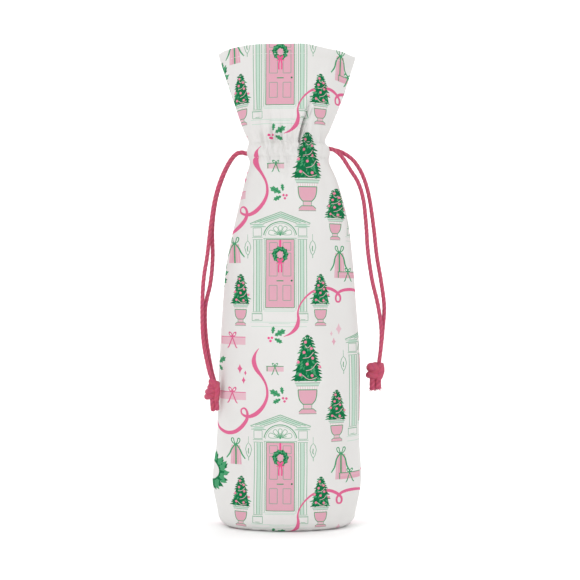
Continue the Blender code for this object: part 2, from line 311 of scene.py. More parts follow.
def plied(start_taper=0.0, end_taper=0.0, radius=CORD_RADIUS, ridge=0.035):
    """The radius of three twisted plies, with a little unevenness, and how raised each point is, which the
    cord's colour turns into painted shade in the grooves.
    """
    def radius_at(part, angle, walked):
        ply = math.cos(3 * (angle - 2 * math.pi * walked / PLY_PITCH))
        rough = noise.noise(Vector((math.cos(angle) * 1.3, math.sin(angle) * 1.3, walked / MM * 0.9)))
        taper = 1.0
        if start_taper and part < start_taper:
            taper = math.sqrt(max(0.02, part / start_taper))
        if end_taper and part > 1 - end_taper:
            taper = math.sqrt(max(0.02, (1 - part) / end_taper))
        return radius * taper * (0.98 + ridge * ply + 0.05 * rough), 0.55 + 9 * ridge * ply
    return radius_at


def new_yarn_shape():
    """An empty bmesh with the two layers that the cord's colours follow."""
    shape = bmesh.new()
    shape.verts.layers.float_vector.new("along_cord")
    shape.verts.layers.float.new("raised")
    return shape


def cord_mesh(name, lines, sides=CORD_SIDES):
    """Lengths of cord as one piece, given as (line, radius function) pairs."""
    shape = new_yarn_shape()
    for line, radius_of in lines:
        tube(shape, line, radius_of, sides)
    return link_mesh(name, finished_mesh(name, shape), CORD_COTTON)


def hanging_strand(prefix, part, side, height, route):
    """One end of a cord: a straight root inside the slit, then the hanging strand, length to its knot."""
    y = route[0][1]
    lead = [(side * x * MM, y * MM, height * MM) for x in (INNER_END_X, 23.0, 29.0)]
    below = route[-1]
    into_knot = (below[0], below[1], below[2] - 3.0)
    stops = lead + [tuple(value * MM for value in stop) for stop in [*route, into_knot]]
    line = smooth_line(stops, CORD_RING)
    strand = cord_mesh("%s_cord_%s" % (prefix, part), [(line, plied(start_taper=0.008))])
    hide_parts("%s_cord_%s_root" % (prefix, part), "%s_cord_%s_strand" % (prefix, part))
    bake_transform(strand, "%s_cord_root" % prefix, "%s_cord" % prefix,
             start=(side * 31 * MM, 0, height * MM), end=(side * 44 * MM, 0, (height - 10) * MM))
    return strand


def wrap(centre, reach_x, reach_y, lift, tilt):
    """One turn of a knot: an oval ring about the upright axis, tilted so that one end stands higher."""
    points = []
    for step in range(17):
        angle = 2 * math.pi * step / 16
        x = reach_x * math.cos(angle)
        rise = lift + x * tilt + 0.2 * math.sin(2 * angle)
        points.append(centre + Vector((x, reach_y * math.sin(angle), rise)) * MM)
    return smooth_line(points, CORD_RING)


def fibre_radius(part, angle, walked):
    """The radius of a loose fibre, which thins towards its tip."""
    return 0.22 * MM * (1.05 - part * 0.8), 0.5


def knot_and_tails(prefix, centre, half, wraps, passes, tail_shift, tail_apart, tail_radius, fray):
    """An overhand knot tied in both strands at once, so its turns are thick, and two cut tails below it.

    Each wrap is a turn: how far its middle is shifted, its lift, its tilt, its share of the knot's width
    and its radius. Each pass is a length of cord across the turns: its radius and its places from the
    knot's middle. fray is the number of loose fibres at the cut ends.
    """
    centre = Vector(centre) * MM
    wide, deep, high = half

    def core(part, angle, walked):
        bulge = math.sqrt(max(0.0, 1 - (2 * part - 1) ** 2))
        # The low raised value gives the knot's core painted shade, darker than the turns round it.
        return (0.4 + (wide - 1.6) * bulge) * MM, 0.3

    lines = []
    for shift, lift, tilt, share, radius in wraps:
        middle = centre + Vector((shift * MM, 0, 0))
        ring = wrap(middle, (wide - radius) * share, (deep - radius) * share, lift, tilt)
        lines.append((ring, plied(radius=radius * MM, ridge=0.012)))
    for radius, places in passes:
        over = smooth_line([centre + Vector(place) * MM for place in places], CORD_RING)
        lines.append((over, plied(0.06, 0.06, radius * MM, 0.012)))
    stem = [centre + Vector((0, 0, up * high * MM)) for up in (0.92, 0.3, -0.3, -0.92)]
    lines.append((smooth_line(stem, CORD_RING), core))
    body = "%s_cord" % prefix
    knot = cord_mesh("%s_knot_turns" % prefix, lines)
    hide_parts("%s_knot" % prefix)
    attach(knot, body)
    pieces = [knot]
    bottom = centre.z - (high + TAIL_LENGTH) * MM
    for part, hand in (("front", -1), ("back", 1)):
        top = centre + Vector((tail_shift * 0.6 + hand * tail_apart * 0.46, -0.5, 2.4 - high)) * MM
        end = Vector((centre.x + (tail_shift + hand * tail_apart / 2) * MM, centre.y - 0.3 * MM,
                      bottom + 0.25 * (1 + hand) * MM))
        middle = (top + end) / 2 + Vector((hand * 0.2 * MM, -0.2 * MM, 0))
        line = smooth_line([top, middle, end], CORD_RING)
        tail = cord_mesh("%s_cord_%s_tail_cut" % (prefix, part),
                         [(line, plied(end_taper=0.08, radius=tail_radius * MM))])
        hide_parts("%s_cord_%s_tail" % (prefix, part))
        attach(tail, body)
        pieces.append(tail)
    fibres = []
    chance = random.Random(prefix)
    for _ in range(fray):
        hand = chance.choice((-1, 1))
        turn = chance.uniform(0, 2 * math.pi)
        out = Vector((math.cos(turn), math.sin(turn), 0)) * tail_radius * chance.uniform(0.3, 0.95) * MM
        start = Vector((centre.x + (tail_shift + hand * tail_apart / 2) * MM, centre.y,
                        bottom + chance.uniform(0.4, 3.0) * MM)) + out
        end = start + out * chance.uniform(0.3, 0.9) - Vector((0, 0, chance.uniform(0.8, 2.4) * MM))
        fibres.append((smooth_line([start, (start + end) / 2 + out * 0.25, end], 0.5 * MM), fibre_radius))
    if fibres:
        ends = cord_mesh("%s_cord_frayed_ends" % prefix, fibres, sides=5)
        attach(ends, body)
        pieces.append(ends)
    return pieces


TAIL_LENGTH = 7.2
LEFT_WRAPS = [(0.8, 3.6, 0.5, 0.86, 2.4), (-0.6, 0.2, 0.42, 0.96, 2.4), (-1.5, -3.6, 0.3, 0.84, 2.3)]
LEFT_PASSES = [(2.3, [(-2.6, -2.4, 6.0), (0.4, -3.6, 6.4), (3.0, -3.2, 4.0), (3.4, -2.6, 0.0),
                      (3.0, -1.8, -4.0), (2.2, -0.6, -8.0)])]
RIGHT_WRAPS = [(-0.2, 2.0, -0.14, 0.98, 3.5), (-0.9, -2.9, 0.02, 0.9, 2.5)]
RIGHT_PASSES = [(2.4, [(3.4, -2.2, 6.0), (4.3, -3.0, 1.6), (3.6, -3.2, -2.4), (1.6, -2.2, -6.4)])]
left_knot_pieces = knot_and_tails("left", (-53.0, -18.1, 98.8), (5.1, 4.7, 7.7), LEFT_WRAPS, LEFT_PASSES,
                                  1.9, 2.7, 1.75, 0)
right_knot_pieces = knot_and_tails("right", (64.6, 0.0, 112.2), (6.6, 5.6, 7.0), RIGHT_WRAPS, RIGHT_PASSES,
                                   0.0, 4.0, 2.2, 70)
hanging_strand("left", "front", -1, LEFT_CORD_Z, LEFT_FRONT_ROUTE)
hanging_strand("left", "back", -1, LEFT_CORD_Z, LEFT_BACK_ROUTE)
hanging_strand("right", "front", 1, RIGHT_CORD_Z, RIGHT_FRONT_ROUTE)
hanging_strand("right", "back", 1, RIGHT_CORD_Z, RIGHT_BACK_ROUTE)

for prefix in ("left", "right"):
    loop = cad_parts["%s_cord_loop" % prefix]
    loop.data.materials.clear()
    loop.data.materials.append(CORD_COTTON)


# ---------------------------------------------------------------- cloth surface
# Where the cloth lies: two panels of plain-woven cotton, each 152 mm wide, from the seam along the middle
# of the base, round the boxed bottom and up past the gathered neck to the hem of the flared frill.
# A place on a panel is (across, up) in millimetres: across from its middle, up from the floor.

CORNER = 10.0
BASE_HALF_WIDTH = 40.0
BASE_HALF_DEPTH = 31.0
BASE_EDGE = CORNER - CORNER * math.pi / 2       # up, where the flat base begins
BASE_SEAM = BASE_EDGE - BASE_HALF_DEPTH
TUNNEL_BOTTOM = 266.6
TUNNEL_TOP = 277.3
FRILL_BOTTOM = 281.6
FRILL_MIDDLE_TOP = 346.2
FRILL_SIDE_TOP = 342.0
HALF_SEAM_GAP = 0.12
CLOTH = 0.6

# Height, half width, half depth and how far the middle leans to the right.
OUTLINE = np.array([
    (10, 50.0, 41.0, 0.0),
    (33, 54.0, 43.0, 0.1),
    (62, 52.0, 44.5, 1.1),
    (118, 51.3, 45.0, 2.2),
    (164, 48.3, 44.0, 2.2),
    (193, 45.6, 42.0, 2.6),
    (222, 40.8, 37.0, 3.8),
    (251, 33.5, 28.5, 3.2),
    (264, 29.0, 23.0, 2.0),
    (270, 30.6, 22.8, 1.1),
    (274.5, 30.0, 22.3, 1.4),
    (278.5, 28.0, 21.4, 0.2),
    (288, 31.8, 22.8, 0.0),
    (316, 41.2, 25.5, 0.6),
    (346, 50.2, 28.5, 0.3),
])


def half_sizes(up):
    """Half width, half depth and lean at each height, on a smooth curve through OUTLINE."""
    rows = OUTLINE
    slopes = np.gradient(rows[:, 1:], rows[:, 0], axis=0)
    for index in range(1, len(rows) - 1):
        before, after = rows[index - 1], rows[index + 1]
        slopes[index] = (after[1:] - before[1:]) / (after[0] - before[0])
    height = np.clip(up, rows[0, 0], rows[-1, 0])
    index = np.clip(np.searchsorted(rows[:, 0], height, side="right") - 1, 0, len(rows) - 2)
    span = rows[index + 1, 0] - rows[index, 0]
    t = ((height - rows[index, 0]) / span)[:, None]
    span = span[:, None]
    return ((2 * t ** 3 - 3 * t ** 2 + 1) * rows[index, 1:] + (t ** 3 - 2 * t ** 2 + t) * span * slopes[index]
            + (3 * t ** 2 - 2 * t ** 3) * rows[index + 1, 1:] + (t ** 3 - t ** 2) * span * slopes[index + 1])


def section(up):
    """Half width, half depth, squash of the depth towards the base seam, turn of the corner, and lean."""
    sizes = half_sizes(up)
    turn = np.clip((up - BASE_EDGE) / (CORNER - BASE_EDGE), 0, 1) * math.pi / 2
    low = up < CORNER
    wide = np.where(low, BASE_HALF_WIDTH + CORNER * np.sin(turn), sizes[:, 0])
    deep = np.where(low, BASE_HALF_DEPTH + CORNER * np.sin(turn), sizes[:, 1])
    inward = np.clip((up - BASE_SEAM) / BASE_HALF_DEPTH, 0, 1)
    return wide, deep, inward, turn, np.where(low, 0.0, sizes[:, 2])


def half_length(up):
    """Half the length of cloth from seam to seam, which is half of half an oval."""
    wide, deep = section(np.asarray(up, float))[:2]
    flat = ((wide - deep) / (wide + deep)) ** 2
    return math.pi / 4 * (wide + deep) * (1 + 3 * flat / (10 + np.sqrt(4 - 3 * flat)))


def reach_at(up):
    """How far the cloth reaches from its middle to a seam at one height."""
    return float(half_length([up])[0])


def angle_across(across, up):
    """The angle round the oval, 0 at one seam and pi at the other, that lies that far along the cloth."""
    wide, deep = section(up)[:2]
    angles = np.linspace(0, math.pi, 97)
    steps = np.sqrt((wide[:, None] * np.sin(angles)) ** 2 + (deep[:, None] * np.cos(angles)) ** 2)
    walked = np.cumsum((steps[:, 1:] + steps[:, :-1]) / 2, axis=1)
    length = np.concatenate([np.zeros((len(up), 1)), walked], axis=1)
    share = np.clip(0.5 + across / (2 * half_length(up)), 0, 1) * length[:, -1]
    index = np.clip((length <= share[:, None]).sum(axis=1) - 1, 0, len(angles) - 2)
    rows = np.arange(len(up))
    part = (share - length[rows, index]) / (length[rows, index + 1] - length[rows, index])
    return angles[index] + part * (angles[1] - angles[0])


# Gathers at the neck: share of the way from the middle to a seam, depth, width, reach up, reach down, and
# how far each leans sideways on its way up.
GATHERS = {
    "front": [
        (-0.52, 1.3, 2.2, 4, 36, 2), (-0.22, 1.9, 2.3, 5, 38, -1), (0.06, 1.1, 2.0, 4, 30, 1),
        (-0.80, 0.6, 1.5, 16, 26, 0), (-0.62, 1.1, 1.4, 22, 40, 1), (-0.47, 1.7, 1.0, 24, 34, -4),
        (-0.37, 1.0, 0.7, 12, 20, 1), (-0.27, 2.0, 0.8, 22, 36, -3), (-0.18, 0.8, 0.6, 10, 22, 1),
        (-0.09, 1.9, 0.7, 16, 36, -2), (0.02, 0.9, 0.6, 12, 18, 1), (0.11, 1.4, 0.7, 16, 24, 1),
        (0.235, 6.5, 0.62, 22, 9, 7), (0.36, 1.0, 1.0, 18, 28, 2), (0.54, 0.8, 1.6, 26, 34, 1),
        (0.74, 0.9, 1.5, 18, 26, 0),
    ],
    "back": [
        (-0.82, 1.0, 1.4, 22, 26, 0), (-0.66, 1.8, 0.9, 28, 38, 2), (-0.50, 1.4, 0.8, 20, 26, -1),
        (-0.37, 4.2, 0.7, 30, 26, -5), (-0.25, 1.7, 0.8, 22, 34, 1), (-0.12, 2.0, 0.8, 26, 24, -2),
        (0.01, 1.5, 0.7, 18, 30, 1), (0.13, 3.4, 0.7, 30, 36, 3), (0.27, 1.6, 0.8, 22, 22, -1),
        (0.41, 2.3, 0.8, 30, 38, 2), (0.57, 1.3, 1.1, 20, 26, 1), (0.76, 1.6, 1.2, 26, 30, 0),
    ],
}
# Creases across the tunnel: how far across, depth, bottom, top, lean over its length.
CREASES = {
    "front": [(-21.4, 0.8, 265, 278, -0.8), (-15.2, 1.3, 260, 275, -0.6), (-8.4, 1.5, 266, 284, 0.7),
              (-5.6, 0.9, 254, 268, 0.3), (-1.4, 1.3, 258, 271, 0.4), (2.4, 1.1, 272, 288, -0.5),
              (11.2, 0.9, 264, 279, 0.4), (19.0, 0.6, 267, 277, 0.2)],
    "back": [(-18.0, 0.7, 266, 276, 0.6), (-9.4, 0.9, 264, 282, -0.5), (-2.0, 0.6, 262, 272, 0.3),
             (5.2, 0.9, 268, 284, 0.5), (13.6, 0.7, 262, 274, -0.4), (21.0, 0.5, 267, 277, 0.2)],
}
FOLD_HEIGHT = 279.5
CORD_INSIDE = 272.0
DEEPEST_ON_CORD = 1.4           # the cord inside the tunnel holds the cloth out
STITCH_PULL = 0.55
SEAM_DIP = 0.75
SEAM_DIP_WIDTH = 1.3
SEAM_HOLD = 7.0                 # how far from a seam the cloth starts to move freely
SLIT_OPENING = 3.7
SLIT_HALF_HEIGHT = 3.1
RIGHT_HEM_DIP = 2.2


def relief(across, up, side):
    """How far the cloth stands out from its smooth shape, in millimetres: gathers, sag and wrinkles."""
    share = across / half_length(up)
    above = np.maximum(up - FOLD_HEIGHT, 0)
    below = np.maximum(FOLD_HEIGHT - up, 0)
    out = np.zeros_like(up)
    for place, depth, width, reach_up, reach_down, slant in GATHERS["front" if side < 0 else "back"]:
        middle = place * half_length(np.full_like(up, FOLD_HEIGHT)) + slant * (above - 0.4 * below) / 24
        spread = width * (1 + above / 22 + below / 12)
        distance = (across - middle) / spread
        fade = np.exp(-(above / reach_up) ** 1.5 - (below / reach_down) ** 1.5)
        out -= depth * fade * np.exp(-np.abs(distance) ** 1.6)
        out += 0.4 * depth * fade * np.exp(-((np.abs(distance) - 2.0) / 0.9) ** 2)
    for place, depth, bottom, top, lean in CREASES["front" if side < 0 else "back"]:
        distance = (across - place - lean * (up - (bottom + top) / 2) / (top - bottom)) / 0.8
        ends = np.clip((up - bottom) / 3, 0, 1) * np.clip((top - up) / 3, 0, 1)
        out -= depth * ends * np.exp(-distance ** 2)
        out += 0.35 * depth * ends * np.exp(-((np.abs(distance) - 2.4) / 1.2) ** 2)
    on_cord = np.exp(-((up - CORD_INSIDE) / 5.0) ** 6)
    out = np.where(out < 0, out * (1 - on_cord) + np.maximum(out, -DEEPEST_ON_CORD) * on_cord, out)
    # Broad soft folds run down from the neck into the shoulder.
    shoulder = np.exp(-((up - 236) / 34) ** 2)
    out += 1.1 * shoulder * (np.sin(9.5 * share + 0.6 * side) * 0.6 + np.sin(17 * share + 1.3) * 0.4)
    # The frill flares in shallow waves.
    frill = np.clip((up - 290) / 50, 0, 1)
    out += frill * (1.3 * np.sin(7.3 * share + 1.1 * side) + 0.7 * np.sin(13.1 * share - 0.4))
    # The filled-out body is never quite even.
    body = np.clip(up / 30, 0, 1) * np.clip((275 - up) / 40, 0, 1)
    out += body * (0.55 * np.sin(0.021 * up + 2.4 * share + side) + 0.35 * np.sin(0.047 * up - 5.1 * share))
    # Wrinkles where the cloth turns under the base.
    bottom = np.exp(-((up - 12) / 12) ** 2)
    out += bottom * 0.28 * np.sin(31 * share + 3 * np.sin(4 * share))
    # The two rows of stitches pull the cloth in.
    for row in (TUNNEL_BOTTOM, TUNNEL_TOP):
        out -= STITCH_PULL * np.exp(-((up - row) / 0.8) ** 2)
        out += 0.3 * np.exp(-((up - row) / 2.5) ** 2) * np.sin(60 * share + row) * np.exp(-(share / 0.9) ** 8)
    # Both panels turn in at the side seams.
    edge = (1 - np.abs(share)) * half_length(up)
    pucker = 1 + 0.35 * np.sin(up * 0.9) * (up > 12)
    out -= SEAM_DIP * np.exp(-(edge / SEAM_DIP_WIDTH) ** 2) * pucker
    # Both faces of the seam hold still, so that front and back meet.
    held = 1 - np.exp(-(edge / SEAM_HOLD) ** 2)
    seam = -SEAM_DIP * np.exp(-(edge / SEAM_DIP_WIDTH) ** 2)
    return np.where(up > BASE_EDGE + 4, out * held + seam * (1 - held), 0.0)


def cloth_place(across, up, side, stand=0.0):
    """Places on a panel, in metres. stand moves them off the cloth, outwards if positive, in millimetres."""
    across = np.asarray(across, float)
    up = np.asarray(up, float)
    wide, deep, inward, turn, lean = section(up)
    angle = angle_across(across, up)
    world_left = angle if side < 0 else math.pi - angle
    # Round each slit the seam is not sewn, and the cord ends push its edges apart.
    for from_seam, height in ((world_left, LEFT_CORD_Z), (math.pi - world_left, RIGHT_CORD_Z)):
        near_slit = np.exp(-((up - height) / SLIT_HALF_HEIGHT) ** 4)
        opening = SLIT_OPENING / deep * near_slit * np.exp(-from_seam / 0.22)
        away = np.where(from_seam < math.pi / 2, opening, 0.0)
        grow = 1.0 if from_seam is world_left else -1.0
        angle = angle + away * grow * (1 if side < 0 else -1)
    cosine = np.cos(angle)
    sine = np.maximum(np.sin(angle), 0)
    t = np.clip((up - FRILL_BOTTOM) / (FRILL_MIDDLE_TOP - FRILL_BOTTOM), 0, 1)
    # The hem dips at the seams, and a little more on the right.
    rightward = np.clip((side * cosine - 0.2) / 0.45, 0, 1)
    top = (FRILL_MIDDLE_TOP + (FRILL_SIDE_TOP - FRILL_MIDDLE_TOP) * np.abs(cosine) ** 3
           - RIGHT_HEM_DIP * rightward ** 2 * (3 - 2 * rightward))
    height = np.where(up > FRILL_BOTTOM, FRILL_BOTTOM + (top - FRILL_BOTTOM) * t, up)
    height = np.where(up < CORNER, CORNER * (1 - np.cos(turn)), height)
    normal = np.stack([side * cosine / wide, side * sine / deep, np.zeros_like(up)], axis=1)
    normal /= np.linalg.norm(normal, axis=1)[:, None]
    level = np.where(up < CORNER, np.sin(turn), 1.0)[:, None]
    normal = normal * level - np.array([0, 0, 1]) * np.sqrt(np.maximum(0, 1 - level ** 2))
    out = relief(across, up, side) + stand
    place = np.stack([lean + side * wide * cosine, side * (HALF_SEAM_GAP + deep * sine * inward), height],
                     axis=1)
    place = place + normal * out[:, None]
    place[:, 2] = np.maximum(place[:, 2], 0.0)
    return place * MM


def cloth_normals(across, up, side):
    """Which way the outside of the cloth faces at each place."""
    reach = half_length(up) - 0.1
    across = np.clip(across, -reach, reach)
    step = 0.06
    sideways = cloth_place(across + step, up, side) - cloth_place(across - step, up, side)
    upwards = cloth_place(across, up + step, side) - cloth_place(across, up - step, side)
    normals = np.cross(sideways, upwards)
    return normals / np.maximum(np.linalg.norm(normals, axis=1), 1e-12)[:, None]


# ---------------------------------------------------------------- print
# Screen printed winter motifs in pinks and greens: doorways with wreaths, trees in urns, ribbons, parcels,
# holly and diamonds. All are plain shapes drawn here in millimetres on the flat cloth.

BLUSH = "D9A3B3"
PALE_BLUSH = "DDB6C1"
ROSE = "D8648F"
HOT_PINK = "E4508C"
BAUBLE_PINK = "E9769B"
DEEP_GREEN = "006E40"
LEAF_GREEN = "46996A"
LINE_GREEN = "7BAC8E"
PALE_GREEN = "BCD3C5"
SHADE_GREEN = "8EA292"
COTTON_WHITE = "E2E1DE"
BARE = (0.0, 0.0, 0.0, 0.0)
PRINT_REPEAT_UP = 148.0
PRINT_REPEAT_ACROSS = 141.4
PRINT_MIDDLE = (2.0, 171.0)
FACING = 0.96                   # share of the half width beyond which the cloth has turned away
SPREAD = 0.85                   # how fully the motifs are spread out towards the seams


def flowing(points, parts):
    """More points on a smooth curve through the given (x, z) points or (x, z, width) points."""
    return curve_through([np.array(point, float) for point in points], parts)


def direction(degrees):
    """One step that way on the flat cloth, as its share across and its share up."""
    turn = math.radians(degrees)
    return math.cos(turn), math.sin(turn)


class Motif:
    """Shapes drawn round one place on the cloth."""

    def __init__(self, shapes, x, z):
        self.shapes = shapes
        self.x = x
        self.z = z

    def fill(self, colour, points):
        self.shapes.append((colour, [(self.x + point[0], self.z + point[1]) for point in points]))

    def box(self, colour, x0, z0, x1, z1):
        self.fill(colour, [(x0, z0), (x1, z0), (x1, z1), (x0, z1)])

    def line(self, colour, width, points):
        """A stroke along the points. width is one number, or None where each point has its own."""
        track = [np.array(point[:2], float) for point in points]
        wide = [width if width is not None else point[2] for point in points]
        left, right = [], []
        for index, point in enumerate(track):
            ahead = track[min(index + 1, len(track) - 1)] - track[max(index - 1, 0)]
            normal = np.array((-ahead[1], ahead[0])) / max(np.hypot(*ahead), 1e-6)
            left.append(point + normal * wide[index] / 2)
            right.append(point - normal * wide[index] / 2)
        for start in range(0, len(track) - 1, 3):
            end = min(start + 3, len(track) - 1)
            self.fill(colour, [*right[start:end + 1], *reversed(left[start:end + 1])])

    def frame(self, colour, width, x0, z0, x1, z1):
        for ends in (((x0, z0), (x1, z0)), ((x1, z0), (x1, z1)), ((x1, z1), (x0, z1)), ((x0, z1), (x0, z0))):
            self.line(colour, width, ends)

    def dot(self, colour, x, z, radius, sides=9):
        turns = [2 * math.pi * side / sides for side in range(sides)]
        self.fill(colour, [(x + radius * math.cos(turn), z + radius * math.sin(turn)) for turn in turns])

    def arc(self, colour, width, x, z, reach_x, reach_z, start, end, sides=18):
        turns = [math.radians(start + (end - start) * side / sides) for side in range(sides + 1)]
        self.line(colour, width,
                  [(x + reach_x * math.cos(turn), z + reach_z * math.sin(turn)) for turn in turns])

    def blade(self, colour, x, z, length, width, degrees, droop=0.0):
        """A pointed leaf from (x, z) in a direction, its tip bent down by droop."""
        cosine, sine = direction(degrees)
        outline = [(0, 0), (0.35, -0.5), (0.7, -0.36), (1, 0), (0.65, 0.36), (0.3, 0.5)]
        self.fill(colour, [(x + length * along * cosine - width * over * sine,
                            z + length * along * sine + width * over * cosine - droop * along ** 2)
                           for along, over in outline])

    def bow(self, colour, inside, x, z, size, tails):
        """Two loops and a knot, and two tails that hang down by the given length."""
        for hand in (-1, 1):
            turns = [2 * math.pi * side / 12 for side in range(12)]
            for tint, scale in ((colour, 1.0), (inside, 0.45)):
                loop = [(0.48 * size * scale * math.cos(turn), 0.78 * size * scale * math.sin(turn))
                        for turn in turns]
                self.fill(tint, [(x + hand * (0.52 * size + 0.84 * along + 0.55 * aside),
                                  z + 0.68 * size - 0.4 * along + 0.84 * aside) for along, aside in loop])
            track = flowing([(x, z, size * 0.3), (x + hand * size * 0.5, z - tails * 0.45, size * 0.3),
                             (x + hand * size * 0.95, z - tails * 0.85, size * 0.34),
                             (x + hand * size * 1.35, z - tails, size * 0.2)], 3)
            self.line(colour, None, track)
        self.dot(colour, x, z + size * 0.05, size * 0.26, 8)


def doorway(motif):
    """A panelled door with a wreath, in a surround with columns, a fanlight and a pediment."""
    for hand in (-1, 1):
        motif.box(PALE_GREEN, hand * 15.1, -27.6, hand * 17.0, 24.4)
        for x, width in ((13.3, 0.5), (14.7, 0.55), (17.3, 0.5), (19.3, 0.5)):
            motif.line(LINE_GREEN, width, [(hand * x, -27.6), (hand * x, 24.6)])
        for z, reach in ((24.9, 20.0), (26.6, 20.4), (-28.0, 20.0), (-29.2, 20.6)):
            motif.line(LINE_GREEN, 0.4, [(hand * 12.8, z), (hand * reach, z)])
        motif.frame(LINE_GREEN, 0.4, hand * 13.4, 27.4, hand * 19.6, 33.4)
        motif.frame(LINE_GREEN, 0.4, hand * 12.9, -34.4, hand * 20.3, -29.4)
        motif.line(LINE_GREEN, 0.4, [(hand * 15.0, -33.4), (hand * 18.4, -33.6)])
        motif.fill(PALE_GREEN, [(hand * 11.4, 34.4), (hand * 20.8, 34.4), (hand * 18.6, 35.9),
                                (hand * 13.2, 35.9)])
        motif.line(LINE_GREEN, 0.45, [(hand * 10.6, 34.2), (hand * 21.6, 34.2)])
        motif.line(LINE_GREEN, 0.4, [(hand * 11.6, 36.0), (hand * 21.9, 36.0)])
        # One sloping side of the pediment.
        motif.fill(PALE_GREEN, [(hand * 18.2, 37.4), (hand * 12.6, 37.2), (0, 41.6), (0, 43.4)])
        motif.line(LINE_GREEN, 0.65, [(hand * 22.2, 36.6), (0, 45.0)])
        motif.line(LEAF_GREEN, 0.42, [(hand * 18.6, 37.1), (0, 43.7)])
        motif.line(LINE_GREEN, 0.42, [(hand * 15.0, 36.9), (0, 42.2)])
        motif.line(LEAF_GREEN, 0.4, [(hand * 12.2, 36.6), (0, 41.0)])
        # A hanging lantern.
        x = hand * 23.8
        motif.line(LINE_GREEN, 0.3, [(x, 28.8), (x, 24.0)])
        motif.line(LINE_GREEN, 0.5, [(x - 1.6, 22.2), (x, 24.2), (x + 1.6, 22.2)])
        motif.line(LINE_GREEN, 0.5, [(x - 1.6, 22.2), (x - 2.3, 19.2), (x - 1.2, 15.2), (x, 13.4), (x, 11.2)])
        motif.line(LINE_GREEN, 0.5, [(x + 1.6, 22.2), (x + 2.3, 19.2), (x + 1.2, 15.2), (x, 13.4)])
        motif.line(LEAF_GREEN, 0.6, [(x, 20.2), (x - 0.3, 17.6), (x + 0.2, 16.2)])
    motif.arc(LEAF_GREEN, 0.65, 0, 26.6, 12.1, 11.2, 8, 172)
    motif.arc(LINE_GREEN, 0.3, 0, 26.6, 11.0, 10.1, 4, 176)
    for degrees in (14, 52, 90, 128, 166):
        # A petal of the fanlight: out from the hub and back round a rounded end.
        cosine, sine = direction(degrees)
        length = 9.2 - 2.6 * sine
        petal = flowing([(0.12, 0.0), (0.6, 0.17), (0.93, 0.19), (1.02, 0.0), (0.93, -0.19), (0.6, -0.17),
                         (0.12, 0.0)], 3)
        turned = [(length * (along * cosine - aside * sine), 28.2 + length * (along * sine + aside * cosine))
                  for along, aside in petal]
        motif.fill(COTTON_WHITE, turned)
        motif.line(LINE_GREEN, 0.45, turned)
        motif.line(LEAF_GREEN, 0.4, [(1.2 * cosine, 28.2 + 1.2 * sine),
                                     (0.55 * length * cosine, 28.2 + 0.55 * length * sine)])
    motif.dot(LEAF_GREEN, 0, 28.4, 0.9)
    motif.line(LINE_GREEN, 0.42, [(-12.2, 25.7), (12.2, 25.7)])
    motif.box(BLUSH, -10.3, -24.8, 10.3, 24.8)
    motif.frame(LEAF_GREEN, 0.5, -10.4, -24.9, 10.4, 24.9)
    motif.line(LINE_GREEN, 0.35, [(-11.6, -26.0), (-11.6, 25.6)])
    motif.line(LINE_GREEN, 0.35, [(11.6, -26.0), (11.6, 25.6)])
    for hand in (-1, 1):
        for z0, z1 in ((16.9, 22.6), (-1.8, 14.8), (-19.6, -8.6)):
            motif.frame(SHADE_GREEN, 0.5, hand * 2.1, z0, hand * 7.9, z1)
    motif.line(LEAF_GREEN, 0.8, [(-2.5, -5.3), (2.5, -5.3)])
    motif.dot(DEEP_GREEN, 8.4, -5.2, 0.72)
    for z, reach in ((-26.4, 12.6), (-27.4, 11.4), (-35.4, 21.6), (-36.4, 8.0), (-38.6, 21.0)):
        motif.line(PALE_GREEN, 0.42, [(-reach, z), (reach * 0.93, z - 0.15)])
    # The wreath hangs on a ribbon and has a bow under it.
    motif.box(HOT_PINK, -0.65, 18.4, 0.65, 24.6)
    motif.arc(DEEP_GREEN, 2.9, 0, 13.8, 4.2, 4.2, 0, 360, 24)
    for ring, count, length, tint in ((4.9, 21, 2.2, DEEP_GREEN), (4.3, 17, 2.2, LEAF_GREEN),
                                      (3.2, 15, 1.7, DEEP_GREEN), (4.9, 15, 1.5, LEAF_GREEN)):
        for number in range(count):
            degrees = 360 * number / count + ring * 40
            cosine, sine = direction(degrees)
            motif.blade(tint, ring * cosine, 13.8 + ring * sine, length, 1.4,
                        degrees + (62 if number % 2 else 118))
    motif.bow(HOT_PINK, ROSE, 0, 8.4, 2.1, 0.9)
    for hand in (-1, 1):
        motif.line(HOT_PINK, 1.05, [(hand * 0.5, 8.2), (hand * 1.2, 5.0), (hand * 1.1, 0.8)])


